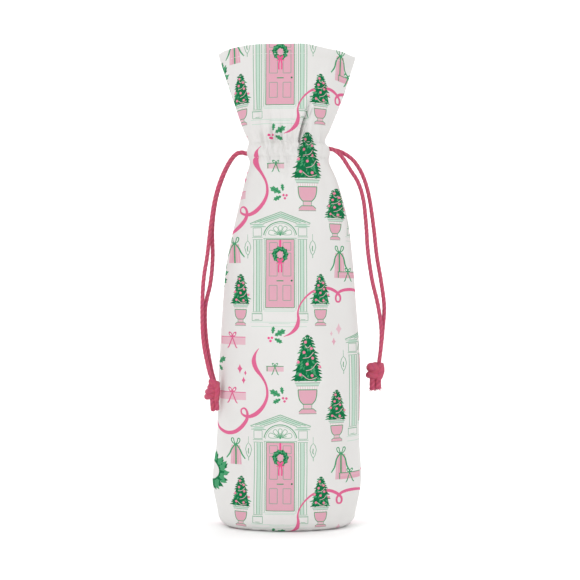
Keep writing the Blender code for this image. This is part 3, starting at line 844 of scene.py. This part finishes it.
def tree_in_urn(motif, tall, half, seed):
    """A clipped fir with baubles and garlands in a footed urn. Its tip is the motif's own place."""
    chance = random.Random(seed)
    scale = half / 7.0
    fine = scale ** 0.5

    def reach(down):
        return half * (0.1 + 1.0 * down ** 0.75)

    heights = (0.1, 0.25, 0.45, 0.65, 0.85, 0.97)
    motif.fill(DEEP_GREEN, [*((-0.8 * reach(down), -down * tall) for down in heights),
                            *((0.8 * reach(down), -down * tall) for down in reversed(heights))])
    tiers = round(10 + 3 * scale)
    for tier in range(tiers, 0, -1):
        down = 0.06 + 0.9 * tier / tiers
        count = max(3, round(3 + 5 * down * fine))
        for number in range(count):
            across = (number + 0.5) / count * 2 - 1 + chance.uniform(-0.12, 0.12)
            start = 0.66 * reach(down) * across
            length = 0.22 * half + abs(across) * 0.3 * reach(down) * chance.uniform(0.85, 1.3)
            tint = LEAF_GREEN if chance.random() < 0.34 else DEEP_GREEN
            motif.blade(tint, start, -tall * (down - 0.06), length, 1.15 * fine, -90 + across * 68,
                        droop=-0.12 * length)
    for degrees in (90, 58, 122, 28, 152):
        motif.blade(DEEP_GREEN, 0, -0.07 * tall, 0.045 * tall + 0.6, 0.95 * fine, degrees)
    for garland in (((-0.16, -0.24), (0.0, -0.29), (0.2, -0.24)), ((-0.3, -0.5), (0.1, -0.48), (0.4, -0.38)),
                    ((-0.1, -0.76), (0.3, -0.72), (0.6, -0.6)), ((-0.34, -0.84), (0.1, -0.94), (0.6, -0.9))):
        motif.line(PALE_BLUSH, 0.34 * fine, flowing([(x * half, z * tall) for x, z in garland], 3))
    for x, z in ((-0.13, -0.17), (0.26, -0.3), (-0.22, -0.38), (0.34, -0.5), (-0.6, -0.58), (-0.02, -0.62),
                 (0.8, -0.68), (-0.46, -0.84), (0.3, -0.86)):
        motif.dot(BAUBLE_PINK, x * half, z * tall, 0.88 * fine)
        motif.dot(BLUSH, x * half - 0.2, z * tall + 0.2, 0.34 * fine, 6)

    # The urn: rim, collar, bowl, stem and foot, all with green outlines.
    def at(x, z):
        return x * scale, -tall - z * 0.925 * scale

    motif.fill(PALE_GREEN, [at(-5.7, 0.1), at(5.7, 0.1), at(5.1, 1.7), at(-5.1, 1.7)])
    motif.line(SHADE_GREEN, 0.45 * fine, [at(-5.8, 0.2), at(5.8, 0.2)])
    motif.line(SHADE_GREEN, 0.35 * fine, [at(-5.1, 1.7), at(5.1, 1.7)])
    motif.fill(COTTON_WHITE, [at(-4.7, 1.9), at(4.7, 1.9), at(4.5, 3.5), at(-4.5, 3.5)])
    for number in range(9):
        motif.line(PALE_BLUSH, 0.3 * scale, [at((number - 4) * 1.1, 2.0), at((number - 4) * 1.05, 3.4)])
    bowl = flowing([at(-4.3, 3.6), at(-4.1, 6.4), at(-3.5, 8.8), at(-2.2, 10.6)], 3)
    mirrored = [(-p[0], p[1]) for p in reversed(bowl)]
    motif.fill(BLUSH, [*bowl, *mirrored])
    for edge in (bowl, mirrored, [at(-4.3, 3.6), at(4.3, 3.6)]):
        motif.line(LEAF_GREEN, 0.52 * fine, edge)
    motif.fill(PALE_BLUSH, [at(-1.8, 10.6), at(1.8, 10.6), at(1.8, 13.0), at(-1.8, 13.0)])
    motif.line(LEAF_GREEN, 0.5 * fine, [at(-2.3, 10.7), at(2.3, 10.7)])
    motif.line(SHADE_GREEN, 0.42 * fine, [at(-1.9, 10.8), at(-1.9, 12.9)])
    motif.line(SHADE_GREEN, 0.42 * fine, [at(1.9, 10.8), at(1.9, 12.9)])
    foot = [at(-2.6, 13.0), at(2.6, 13.0), at(3.9, 14.3), at(3.9, 15.4), at(-3.9, 15.4), at(-3.9, 14.3)]
    motif.fill(BLUSH, foot)
    motif.line(LEAF_GREEN, 0.45 * fine, [foot[5], foot[0], foot[1], foot[2]])
    motif.line(SHADE_GREEN, 0.45 * fine, [at(-4.0, 15.4), at(4.0, 15.4)])


def tall_parcel(motif, stand):
    """A tall parcel, its bow's top at the motif's own place and its foot stand below that."""
    motif.fill(BLUSH, [(-3.3, -5.2), (3.3, -5.2), (4.6, -stand), (-4.2, -stand)])
    for x in (-2.6, 2.4):
        motif.line(PALE_BLUSH, 0.9, [(x * 0.85, -5.4), (x * 1.2, -stand + 0.2)])
    motif.line(LEAF_GREEN, 1.2, [(0, -4.6), (0.1, -stand - 0.1)])
    for hand in (-1, 1):
        tail = flowing([(hand * 0.6, -4.6, 1.0), (hand * 3.4, -8.4, 1.1), (hand * 4.8, -0.6 * stand, 1.1),
                        (hand * 7.4, -0.78 * stand, 0.8)], 4)
        motif.line(LEAF_GREEN, None, tail)
        loop = flowing([(0, -4.8), (hand * 1.2, -2.6), (hand * 1.7, -0.4), (hand * 3.0, -0.2),
                        (hand * 3.3, -1.7), (hand * 2.2, -3.6), (0, -4.8)], 3)
        motif.fill(COTTON_WHITE, loop)
        motif.line(LEAF_GREEN, 0.75, loop)
    motif.dot(LEAF_GREEN, 0, -4.8, 0.8, 8)


def flat_parcel(motif, wide, tall, box_colour, ribbon_colour, size):
    """A low parcel with a lid, its bow on top and the bow's tails hanging over its front."""
    motif.fill(box_colour, [(-wide / 2, 0), (wide / 2, 0), (wide / 2, tall), (-wide / 2, tall)])
    motif.line(ribbon_colour, 0.55, [(-wide / 2, tall), (wide / 2, tall)])
    motif.line(PALE_BLUSH, 0.45, [(-wide / 2 + 0.6, tall * 0.62), (wide / 2 - 0.6, tall * 0.62)])
    motif.line(ribbon_colour, 0.7, [(-wide / 2 + 0.6, 0.2), (-wide / 2 + 0.6, tall)])
    motif.bow(ribbon_colour, COTTON_WHITE, 0, tall - 0.2, size, tall + 2.4)


def holly(motif, hand, berry_colour):
    """Three prickly leaves and three berries."""
    for x, z, length, degrees in ((0.6, 2.2, 5.6, 82), (2.2, 0.8, 9.0, 28), (2.0, -1.4, 6.6, -28)):
        cosine, sine = direction(degrees)
        edge = [(0.16, 0.16), (0.27, 0.1), (0.45, 0.27), (0.56, 0.15), (0.78, 0.22), (0.84, 0.08)]
        leaf = [(0, 0), *edge, (1, 0), *((along, -aside) for along, aside in reversed(edge))]
        motif.fill(LEAF_GREEN, [(hand * (x + length * (along * cosine - 1.08 * aside * sine)),
                                 z + length * (along * sine + 1.08 * aside * cosine))
                                for along, aside in leaf])
        motif.line(DEEP_GREEN, 0.3, [(hand * x, z),
                                     (hand * (x + length * 0.8 * cosine), z + length * 0.8 * sine)])
    for x, z in ((-2.2, -1.0), (0.2, -0.8), (-0.9, -3.1)):
        motif.dot(berry_colour, hand * x, z, 0.98)


def diamond(motif, tall, colour):
    """A four-pointed sparkle, taller than it is wide."""
    motif.fill(colour, [(0, tall), (tall * 0.24, tall * 0.36), (tall * 0.54, 0), (tall * 0.24, -tall * 0.36),
                        (0, -tall), (-tall * 0.24, -tall * 0.36), (-tall * 0.54, 0),
                        (-tall * 0.24, tall * 0.36)])


def leafy_ring(motif, radius):
    """A large wreath of long leaves."""
    motif.arc(DEEP_GREEN, 0.3 * radius, 0, 0, 0.6 * radius, 0.6 * radius, 0, 360, 30)
    for ring, count, length, tint in ((0.56, 30, 7.0, DEEP_GREEN), (0.6, 23, 6.6, LEAF_GREEN),
                                      (0.46, 22, 4.4, DEEP_GREEN), (0.52, 19, 4.6, LEAF_GREEN)):
        for number in range(count):
            degrees = 360 * number / count + ring * 90
            cosine, sine = direction(degrees)
            motif.blade(tint, radius * ring * cosine, radius * ring * sine,
                        length * (0.85 + 0.2 * (number % 2)), 3.2, degrees + (26 if number % 2 else -22))


LEFT_RIBBON = [
    (-20.0, 128.4, 0.2), (-22.6, 124.4, 1.2), (-23.8, 119.0, 2.6), (-22.0, 113.2, 2.4), (-17.8, 107.4, 1.5),
    (-14.8, 101.2, 1.2), (-14.2, 93.6, 1.5), (-17.0, 86.4, 2.0), (-22.4, 80.6, 2.4), (-28.6, 78.2, 1.8),
    (-33.2, 80.0, 1.0), (-33.6, 83.2, 0.9), (-31.2, 84.2, 1.0), (-29.2, 81.4, 1.3), (-29.6, 76.2, 1.9),
    (-33.4, 70.8, 2.2), (-39.0, 66.6, 2.2), (-45.6, 65.6, 2.0), (-51.8, 68.6, 1.6), (-56.6, 74.0, 1.2),
]
RIGHT_RIBBON = [
    (-2.0, 137.0, 0.2), (3.0, 139.4, 1.3), (7.2, 143.8, 2.4), (8.6, 149.4, 1.7), (8.2, 155.2, 0.9),
    (10.6, 161.6, 0.8), (16.0, 167.8, 1.0), (22.0, 171.2, 1.3), (30.0, 172.4, 1.7), (36.4, 170.2, 1.7),
    (40.4, 166.4, 1.3), (40.0, 162.6, 1.0), (37.4, 162.8, 1.0), (37.2, 166.6, 1.2), (41.0, 170.2, 1.6),
    (48.0, 171.4, 1.8), (55.0, 170.4, 1.4), (61.0, 167.2, 0.5),
]


def motifs(shapes, x, z, left_edge):
    """One repeat of the print. left_edge chooses what fills its left end."""
    doorway(Motif(shapes, x - 4.7, z + 183))
    doorway(Motif(shapes, x + 66.0, z + 98))
    for ribbon in (LEFT_RIBBON, RIGHT_RIBBON):
        Motif(shapes, x, z).line(ROSE, None, flowing([(p[0], p[1], 0.15 + 1.2 * p[2]) for p in ribbon], 4))
    tree_in_urn(Motif(shapes, x - 34.0, z + 183), 22.8, 7.5, 3)
    tree_in_urn(Motif(shapes, x + 25.0, z + 183), 22.8, 7.5, 5)
    tree_in_urn(Motif(shapes, x + 36.6, z + 98), 22.8, 7.5, 8)
    tree_in_urn(Motif(shapes, x + 15.2, z + 139), 35.4, 11.2, 11)
    tall_parcel(Motif(shapes, x - 38.5, z + 210), 19.0)
    tall_parcel(Motif(shapes, x + 40.0, z + 203.4), 23.4)
    flat_parcel(Motif(shapes, x + 47.0, z + 179.8), 17.0, 4.6, BLUSH, LEAF_GREEN, 2.4)
    flat_parcel(Motif(shapes, x - 40.5, z + 130.8), 21.0, 5.6, PALE_BLUSH, ROSE, 3.0)
    flat_parcel(Motif(shapes, x - 40.5, z + 90.2), 21.0, 5.6, PALE_BLUSH, ROSE, 3.0)
    flat_parcel(Motif(shapes, x - 8.4, z + 111.6), 12.6, 3.8, PALE_BLUSH, LEAF_GREEN, 2.0)
    holly(Motif(shapes, x - 10.6, z + 137.0), 1, HOT_PINK)
    holly(Motif(shapes, x - 2.4, z + 93.0), -1, ROSE)
    holly(Motif(shapes, x + 60.0, z + 186.0), 1, HOT_PINK)
    for across, up, tall, tint in ((-34.4, 113.2, 3.6, ROSE), (-30.2, 110.2, 1.9, ROSE),
                                   (-31.6, 104.8, 2.7, ROSE), (39.0, 142.4, 4.2, PALE_BLUSH),
                                   (33.2, 139.0, 2.0, PALE_BLUSH), (35.0, 133.2, 2.9, BLUSH),
                                   (70.0, 158.0, 3.2, ROSE)):
        diamond(Motif(shapes, x + across, z + up), tall, tint)
    leafy_ring(Motif(shapes, x - 58.5, z + 184), 14.6)
    if left_edge:
        holly(Motif(shapes, x - 56.0, z + 116.0), 1, BLUSH)
        tall_parcel(Motif(shapes, x - 68.0, z + 142.0), 19.0)
        tree_in_urn(Motif(shapes, x - 68.0, z + 108), 22.8, 7.5, 13)


def bendable(outline):
    """The outline with extra points on long edges, so that it can follow the curved cloth."""
    fine = []
    for start, end in zip(outline, [*outline[1:], outline[0]]):
        start, end = np.array(start, float), np.array(end, float)
        step = 1.1 if 258 < start[1] < 306 else 2.4
        parts = max(1, math.ceil(np.hypot(*(end - start)) / step))
        fine.extend(tuple(start + (end - start) * part / parts) for part in range(parts))
    return fine


def on_cloth(outline, side):
    """Where a flat outline lies on a panel, so that the motifs look even from in front.

    They are taken in a little where the bag bulges, kept upright where it leans, and spread out towards the
    seams, where the cloth turns away.
    """
    x, z = np.array(outline).T
    sizes = half_sizes(z)
    wide, deep = sizes[:, :2].T
    bulge = 1 - deep / 1200
    x = PRINT_MIDDLE[0] + (x - PRINT_MIDDLE[0]) * bulge + side * sizes[:, 2]
    z = PRINT_MIDDLE[1] + (z - PRINT_MIDDLE[1]) * bulge
    turn = np.arcsin(np.clip(np.abs(x) / wide, 0, FACING))
    turns = turn[:, None] * (np.arange(12) + 0.5) / 12
    length = np.hypot(wide[:, None] * np.cos(turns), deep[:, None] * np.sin(turns)).mean(axis=1) * turn
    length += 2.4 * np.maximum(np.abs(x) - FACING * wide, 0)
    return np.stack([x + SPREAD * (np.sign(x) * length - x), z], axis=1)


def print_shapes(side):
    """The printed shapes of a panel. The back is cut from the cloth at another place in the repeat."""
    shapes = []
    for repeat in (-2, -1, 0, 1):
        if side < 0:
            motifs(shapes, 0.0, repeat * PRINT_REPEAT_UP, True)
        else:
            for column in (-1, 0, 1):
                motifs(shapes, 34.0 + column * PRINT_REPEAT_ACROSS, (repeat + 0.4) * PRINT_REPEAT_UP, False)
    reach = reach_at(33.0) + 1
    kept = []
    for colour, outline in shapes:
        outline = on_cloth(bendable(outline), side)
        low, high = outline.min(axis=0), outline.max(axis=0)
        if high[0] > -reach and low[0] < reach and high[1] > BASE_SEAM and low[1] < FRILL_MIDDLE_TOP:
            kept.append((colour, outline))
    return kept


# ---------------------------------------------------------------- printed panels
# The cloth itself, off-white cotton printed on the outside only.

def near_neck(up):
    """1 where the cloth is gathered most, falling to 0 above and below."""
    return math.exp(-((up - 282) / 22) ** 2)


def grid_rows():
    """Heights of the rows of points, closer together where the cloth is gathered."""
    rows = [BASE_SEAM + 2]
    while rows[-1] < FRILL_MIDDLE_TOP - 2:
        rows.append(rows[-1] + 3.0 - 2.1 * near_neck(rows[-1]))
    return rows


def cloth_points(rows):
    """Staggered points inside a panel's flat outline."""
    points = []
    for number, up in enumerate(rows):
        reach = reach_at(up) - 1.0
        step = 3.0 - 2.3 * near_neck(up)
        count = max(4, round(2 * reach / step))
        for column in range(count + 1):
            across = -reach + 2 * reach * (column + 0.5 * (number % 2)) / (count + 0.5)
            points.append((across, up))
    return points


def panel_outline():
    """The flat outline of a panel, anticlockwise."""
    ups = np.linspace(BASE_SEAM, FRILL_MIDDLE_TOP, 230)
    reach = half_length(ups)
    right = [(float(r), float(u)) for r, u in zip(reach, ups)]
    left = [(-x, u) for x, u in reversed(right)]
    top = [(float(x), float(ups[-1])) for x in np.linspace(reach[-1], -reach[-1], 46)[1:-1]]
    bottom = [(float(x), float(ups[0])) for x in np.linspace(-reach[0], reach[0], 40)[1:-1]]
    return right + top + left + bottom


def enclosed(outline, places):
    """Numbers of the places, sorted upwards, that an outline winds round."""
    start = np.array(outline)
    end = np.roll(start, -1, axis=0)
    first, last = np.searchsorted(places[:, 1], (start[:, 1].min(), start[:, 1].max()))
    level = places[first:last]
    near = first + np.flatnonzero((level[:, 0] > start[:, 0].min()) & (level[:, 0] < start[:, 0].max()))
    x, z = places[near, 0, None], places[near, 1, None]
    turn = (end[:, 0] - start[:, 0]) * (z - start[:, 1]) - (x - start[:, 0]) * (end[:, 1] - start[:, 1])
    rising = (start[:, 1] <= z) & (end[:, 1] > z) & (turn > 0)
    falling = (start[:, 1] > z) & (end[:, 1] <= z) & (turn < 0)
    return near[rising.sum(axis=1) != falling.sum(axis=1)]


def printed_mesh(name, side, shapes):
    """A panel's mesh, cut along the outlines of the printed shapes, which are (colour, outline) pairs."""
    points, edges = [], []
    for corners in [panel_outline(), *(corners for _, corners in shapes)]:
        here = [*range(len(points), len(points) + len(corners))]
        edges.extend(zip(here, here[1:] + here[:1]))
        points.extend(Vector(corner) for corner in corners)
    points.extend(Vector(point) for point in cloth_points(grid_rows()))
    found = delaunay_2d_cdt(points, edges, [], 0, 0.02, False)
    flat = np.array([tuple(point) for point in found[0]])
    outer = np.array(found[2])
    outer = outer[np.argsort(flat[outer, 1].sum(axis=1))]
    outer = outer[enclosed(panel_outline(), flat[outer].mean(axis=1))]
    centres = flat[outer].mean(axis=1)
    colours = np.tile(BARE, (len(outer), 1))
    for colour, corners in shapes:
        colours[enclosed(corners, centres)] = linear(colour)
    inner = outer[:, ::-1] + len(flat)
    # The raw edge all round, where an edge belongs to one face only.
    sides = np.concatenate([outer[:, [0, 1]], outer[:, [1, 2]], outer[:, [2, 0]]])
    known = {(int(a), int(b)) for a, b in sides}
    rim = np.array([(b, a, a + len(flat), b + len(flat)) for a, b in known if (b, a) not in known])
    normals = cloth_normals(flat[:, 0], flat[:, 1], side)
    places = np.concatenate([cloth_place(flat[:, 0], flat[:, 1], side),
                             cloth_place(flat[:, 0], flat[:, 1], side, -CLOTH)])
    mesh = bpy.data.meshes.new(name)
    mesh.from_pydata(places.tolist(), [], [*outer.tolist(), *inner.tolist(), *rim.tolist()])
    across_rim = np.cross(places[rim[:, 1]] - places[rim[:, 0]], places[rim[:, 2]] - places[rim[:, 1]])
    across_rim /= np.maximum(np.linalg.norm(across_rim, axis=1), 1e-12)[:, None]
    mesh.shade_smooth()
    mesh.normals_split_custom_set(np.concatenate([normals[outer.ravel()], -normals[outer[:, ::-1].ravel()],
                                                  np.repeat(across_rim, 4, axis=0)]).tolist())
    both = np.concatenate([outer.ravel(), outer[:, ::-1].ravel(), rim.ravel() % len(flat)])
    weave = mesh.uv_layers.new(name="cloth")
    weave.data.foreach_set("uv", (flat[both] * MM).ravel())
    ink = mesh.attributes.new("ink", "FLOAT_COLOR", "CORNER")
    ink.data.foreach_set("color", np.concatenate([np.repeat(colours, 6, axis=0).reshape(-1, 2, 3, 4)
                                                  .transpose(1, 0, 2, 3).reshape(-1, 4),
                                                  np.tile(BARE, (rim.size, 1))]).ravel())
    finish = np.concatenate([np.zeros(len(outer), int), np.ones(len(inner) + len(rim), int)])
    mesh.polygons.foreach_set("material_index", finish)
    return mesh


THREAD_SPACING = 0.55           # a little coarser than real threads, so that the weave shows


def cotton_material(name, ink_share):
    """Plain-woven cotton: matt, fine crossing threads with slubs, ink soaked in unevenly."""
    made, tree, shader = new_material(name, 0.92)
    shader.inputs["Specular IOR Level"].default_value = 0.06
    shader.inputs["Sheen Weight"].default_value = 0.01
    shader.inputs["Sheen Roughness"].default_value = 0.6
    place = add_node(tree, "ShaderNodeUVMap", {"uv_map": "cloth"})
    ink = add_node(tree, "ShaderNodeAttribute", {"attribute_name": "ink"})
    turns = math.pi / (THREAD_SPACING * MM)
    apart = add_node(tree, "ShaderNodeSeparateXYZ", links={"Vector": place.outputs["UV"]})
    wobble = add_node(tree, "ShaderNodeTexNoise", inputs={"Scale": 260.0, "Detail": 2.0},
                      links={"Vector": place.outputs["UV"]})
    waves = []
    for axis in ("X", "Y"):
        scaled = add_node(tree, "ShaderNodeMath", {"operation": "MULTIPLY_ADD"}, {1: turns},
                          {0: apart.outputs[axis], 2: wobble.outputs["Fac"]})
        wave = add_node(tree, "ShaderNodeMath", {"operation": "SINE"}, links={0: scaled.outputs["Value"]})
        waves.append(wave.outputs["Value"])
    crossing = add_node(tree, "ShaderNodeMath", {"operation": "MULTIPLY"}, links={0: waves[0], 1: waves[1]})
    slub = add_node(tree, "ShaderNodeTexNoise", inputs={"Scale": 420.0, "Detail": 3.0, "Roughness": 0.6},
                    links={"Vector": place.outputs["UV"]})
    cloudy = add_node(tree, "ShaderNodeTexNoise", inputs={"Scale": 26.0, "Detail": 2.0},
                      links={"Vector": place.outputs["UV"]})
    bare = add_node(tree, "ShaderNodeMix", {"data_type": "RGBA"},
                    {"A": linear("DBD9D7"), "B": linear("E2E1DF")}, {"Factor": cloudy.outputs["Fac"]})
    soak = add_node(tree, "ShaderNodeMapRange",
                    inputs={"From Min": 0.3, "From Max": 0.7, "To Min": 0.985, "To Max": 1.0},
                    links={"Value": slub.outputs["Fac"]})
    cover = add_node(tree, "ShaderNodeMath", {"operation": "MULTIPLY"},
                     links={0: soak.outputs["Result"], 1: ink.outputs["Alpha"]})
    share = add_node(tree, "ShaderNodeMath", {"operation": "MULTIPLY"}, {1: ink_share},
                     {0: cover.outputs["Value"]})
    printed = add_node(tree, "ShaderNodeMix", {"data_type": "RGBA"},
                       links={"Factor": share.outputs["Value"], "A": bare.outputs["Result"],
                              "B": ink.outputs["Color"]})
    tree.links.new(printed.outputs["Result"], shader.inputs["Base Color"])
    threads = add_node(tree, "ShaderNodeMath", {"operation": "ADD"},
                       links={0: crossing.outputs["Value"], 1: slub.outputs["Fac"]})
    bump = add_node(tree, "ShaderNodeBump", inputs={"Strength": 0.35, "Distance": 0.00012},
                    links={"Height": threads.outputs["Value"]})
    tree.links.new(bump.outputs["Normal"], shader.inputs["Normal"])
    return made


PRINTED_COTTON = cotton_material("printed_cotton", 1.0)
COTTON_REVERSE = cotton_material("cotton_reverse", 0.1)
BEND_START = (0, 0, 0.2778)
BEND_END = (0, 0, 0.2925)

for prefix, side in (("front", -1), ("back", 1)):
    panel = link_mesh("%s_cloth" % prefix, printed_mesh("%s_cloth" % prefix, side, print_shapes(side)),
                      PRINTED_COTTON, COTTON_REVERSE)
    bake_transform(panel, "bag", "frill", start=BEND_START, end=BEND_END)
    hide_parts("%s_panel" % prefix, "%s_frill" % prefix)


# ---------------------------------------------------------------- hem, stitches, tapes and seams
# The frill's turned hem, the rows of lockstitch, the plain cotton tapes that make the tunnel inside the neck,
# and the overlocked seam allowances that stand inwards. All are sewn to the panels.

THREAD_RADIUS = 0.17
STITCH = 2.5
STITCH_PITCH = 3.0
HEM_DEPTH = 8.0
TAPE = 0.5
TAPE_BOTTOM = 264.6
TAPE_TOP = 278.6
TAPE_STANDS_OFF = 5.1           # clear of both cords


def shell_mesh(name, outer, inner):
    """A closed mesh between two grids of points with the same rows and columns."""
    rows, columns = outer.shape[:2]
    here = np.arange(rows * columns).reshape(rows, columns)
    quads = np.stack([here[:-1, :-1], here[:-1, 1:], here[1:, 1:], here[1:, :-1]], axis=-1).reshape(-1, 4)
    border = np.concatenate([here[0, :-1], here[:-1, -1], here[-1, :0:-1], here[:0:-1, 0]])
    after = np.roll(border, -1)
    count = rows * columns
    rim = np.stack([after, border, border + count, after + count], axis=-1)
    mesh = bpy.data.meshes.new(name)
    mesh.from_pydata(np.concatenate([outer.reshape(-1, 3), inner.reshape(-1, 3)]).tolist(), [],
                     [*quads.tolist(), *(quads[:, ::-1] + count).tolist(), *rim.tolist()])
    flat = bmesh.new()
    flat.from_mesh(mesh)
    for edge in flat.edges:
        if len(edge.link_faces) == 2 and edge.calc_face_angle() > 0.9:
            edge.smooth = False
    flat.to_mesh(mesh)
    flat.free()
    return mesh


def cloth_strip(name, side, ups, keep_clear, stand_at, thick):
    """A strip of cloth that follows a panel. keep_clear is how far its ends stop short of the seams."""
    columns = 120
    rows = []
    for up in ups:
        reach = reach_at(up) - keep_clear
        rows.append(np.stack([np.linspace(-reach, reach, columns), np.full(columns, up)], axis=1))
    grid = np.array(rows)
    across, up = grid[..., 0].ravel(), grid[..., 1].ravel()
    stand = stand_at(across, up)
    outer = cloth_place(across, up, side, stand).reshape(len(ups), columns, 3)
    inner = cloth_place(across, up, side, stand - thick).reshape(len(ups), columns, 3)
    mesh = shell_mesh(name, outer, inner)
    weave = mesh.uv_layers.new(name="cloth")
    corner = np.zeros(len(mesh.loops), int)
    mesh.loops.foreach_get("vertex_index", corner)
    flat = np.stack([across, up], axis=1) * MM
    weave.data.foreach_set("uv", flat[corner % len(flat)].ravel())
    return mesh


def thread_tube(shape, line, radius=THREAD_RADIUS * MM, sides=6):
    """Adds a plain thread along a line, narrower at both ends."""
    tube(shape, line, lambda part, angle, walked: (radius * (1 if 0.02 < part < 0.98 else 0.5), 0.5), sides)


def stitch_row(name, side, up, body):
    """A row of lockstitch round one panel, sunk a little into the cloth."""
    shape = new_yarn_shape()
    reach = reach_at(up) - 2.5
    for number in range(int(2 * reach / STITCH_PITCH)):
        start = -reach + (number + 0.1) * STITCH_PITCH
        across = np.linspace(start, start + STITCH, 5)
        stand = 0.06 - 0.3 * np.array([1, 0.1, 0, 0.1, 1])
        thread_tube(shape, [Vector(p) for p in cloth_place(across, np.full(5, up), side, stand)])
    made = link_mesh(name, finished_mesh(name, shape), SEWING_THREAD)
    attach(made, body)
    return made


def seam_fin(name, edge, inward, width, body, replaced=None):
    """An overlocked seam allowance: it stands inwards from a seam, with thread looped over its edge."""
    edge = [Vector(point) * MM for point in edge]
    inward = Vector(inward)
    half = 0.5 * MM
    outer, inner, loops = [], [], []
    for index, point in enumerate(edge):
        ahead = (edge[min(index + 1, len(edge) - 1)] - edge[max(index - 1, 0)]).normalized()
        thick = ahead.cross(inward).normalized()
        sway = 0.5 * MM * math.sin(index * 0.9)
        rows = [point + inward * width * MM * part + thick * sway * part * part for part in (0, 0.5, 1)]
        outer.append([row + thick * half for row in rows])
        inner.append([row - thick * half for row in rows])
        for hand, part in ((1, 0.62), (0, 1.03), (-1, 0.62), (0, 1.03)):
            along = len(loops) % 4 / 4
            here = point.lerp(edge[min(index + 1, len(edge) - 1)], along)
            off = sway * part * part + hand * (half + 0.12 * MM)
            loops.append(here + inward * width * MM * part + thick * off)
    mesh = shell_mesh(name, np.array(outer), np.array(inner))
    shape = new_yarn_shape()
    thread_tube(shape, loops, 0.16 * MM, 5)
    thread = finished_mesh(name + "_thread", shape)
    made = link_mesh(name + "_allowance", mesh, OVERLOCKED_EDGE)
    both = bmesh.new()
    both.from_mesh(mesh)
    cloth_faces = len(both.faces)
    both.from_mesh(thread)
    both.faces.ensure_lookup_table()
    for face in both.faces[cloth_faces:]:
        face.material_index = 1
        face.smooth = True
    both.to_mesh(mesh)
    both.free()
    mesh.materials.append(SEWING_THREAD)
    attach(made, body)
    if replaced:
        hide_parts(replaced)
    return made


def plain_material(name, colour, roughness):
    """Undyed cotton thread or tape, an even off-white with a fine nap."""
    made, tree, shader = new_material(name, roughness)
    shader.inputs["Base Color"].default_value = linear(colour)
    shader.inputs["Specular IOR Level"].default_value = 0.2
    place = add_node(tree, "ShaderNodeTexCoord")
    nap = add_node(tree, "ShaderNodeTexNoise", inputs={"Scale": 900.0, "Detail": 3.0},
                   links={"Vector": place.outputs["Object"]})
    bump = add_node(tree, "ShaderNodeBump", inputs={"Strength": 0.4, "Distance": 0.0001},
                    links={"Height": nap.outputs["Fac"]})
    tree.links.new(bump.outputs["Normal"], shader.inputs["Normal"])
    return made


SEWING_THREAD = plain_material("off_white_sewing_thread", "E0DEDA", 0.7)
OVERLOCKED_EDGE = plain_material("overlocked_cotton_edge", "DAD8D4", 0.95)
PLAIN_COTTON = plain_material("plain_cotton_tape", "DEDBD5", 0.93)


def tape_stand(across, up):
    """The tape is stitched down along both edges and stands off between them, round the cords."""
    part = np.clip((up - TAPE_BOTTOM) / (TAPE_TOP - TAPE_BOTTOM), 0, 1)
    arch = 1 - np.abs(2 * part - 1) ** 3.2
    return -0.75 - (TAPE_STANDS_OFF - 0.75) * arch + 0.22 * arch * np.sin(across * 1.9 + part)


def hem_stand(across, up):
    """The turned hem lies against the inside of the frill."""
    return -CLOTH - 0.12 - 0.1 * np.sin(across * 0.7) ** 2


for prefix, side in (("front", -1), ("back", 1)):
    tape = link_mesh("%s_tunnel_tape" % prefix,
                     cloth_strip("%s_tunnel_tape" % prefix, side, np.linspace(TAPE_BOTTOM, TAPE_TOP, 13), 6.5,
                                 tape_stand, TAPE), PLAIN_COTTON)
    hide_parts("%s_casing_tape" % prefix)
    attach(tape, "bag")
    hem_ups = np.linspace(FRILL_MIDDLE_TOP - HEM_DEPTH, FRILL_MIDDLE_TOP - 0.2, 7)
    hem = link_mesh("%s_turned_hem" % prefix,
                    cloth_strip("%s_turned_hem" % prefix, side, hem_ups, 2.2, hem_stand, CLOTH),
                    COTTON_REVERSE)
    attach(hem, "frill")
    stitch_row("%s_lower_tunnel_stitches" % prefix, side, TUNNEL_BOTTOM, "bag")
    stitch_row("%s_upper_tunnel_stitches" % prefix, side, TUNNEL_TOP, "bag")
    stitch_row("%s_hem_stitches" % prefix, side, FRILL_MIDDLE_TOP - HEM_DEPTH + 1.2, "frill")


def side_seam_edge(hand, bottom, top):
    """Points down the inside of a side seam, in millimetres."""
    ups = np.linspace(bottom, top, round((top - bottom) / 1.5))
    sizes = half_sizes(ups)
    share = np.clip((ups - FRILL_BOTTOM) / (FRILL_MIDDLE_TOP - FRILL_BOTTOM), 0, 1)
    heights = np.where(ups > FRILL_BOTTOM, FRILL_BOTTOM + (FRILL_SIDE_TOP - FRILL_BOTTOM) * share, ups)
    return [(hand * (size[0] - 1.5) + size[2], 0, height) for size, height in zip(sizes, heights)]


for prefix, hand in (("left", -1), ("right", 1)):
    seam_fin("%s_side_seam" % prefix, side_seam_edge(hand, 14, 262), (-hand, 0, 0), 6.0, "bag",
             "%s_side_seam" % prefix)
    seam_fin("%s_frill_seam" % prefix, side_seam_edge(hand, 297, 344), (-hand, 0, 0), 6.0, "frill")
    corner = [(hand * 35.5, y, 0.9) for y in np.linspace(-11, 11, 16)]
    seam_fin("%s_corner_seam" % prefix, corner, (0, 0, 1), 5.0, "bag", "%s_corner_seam" % prefix)
seam_fin("base_seam", [(x, 0, 0.9) for x in np.linspace(-33, 33, 45)], (0, 0, 1), 5.0, "bag", "base_seam")
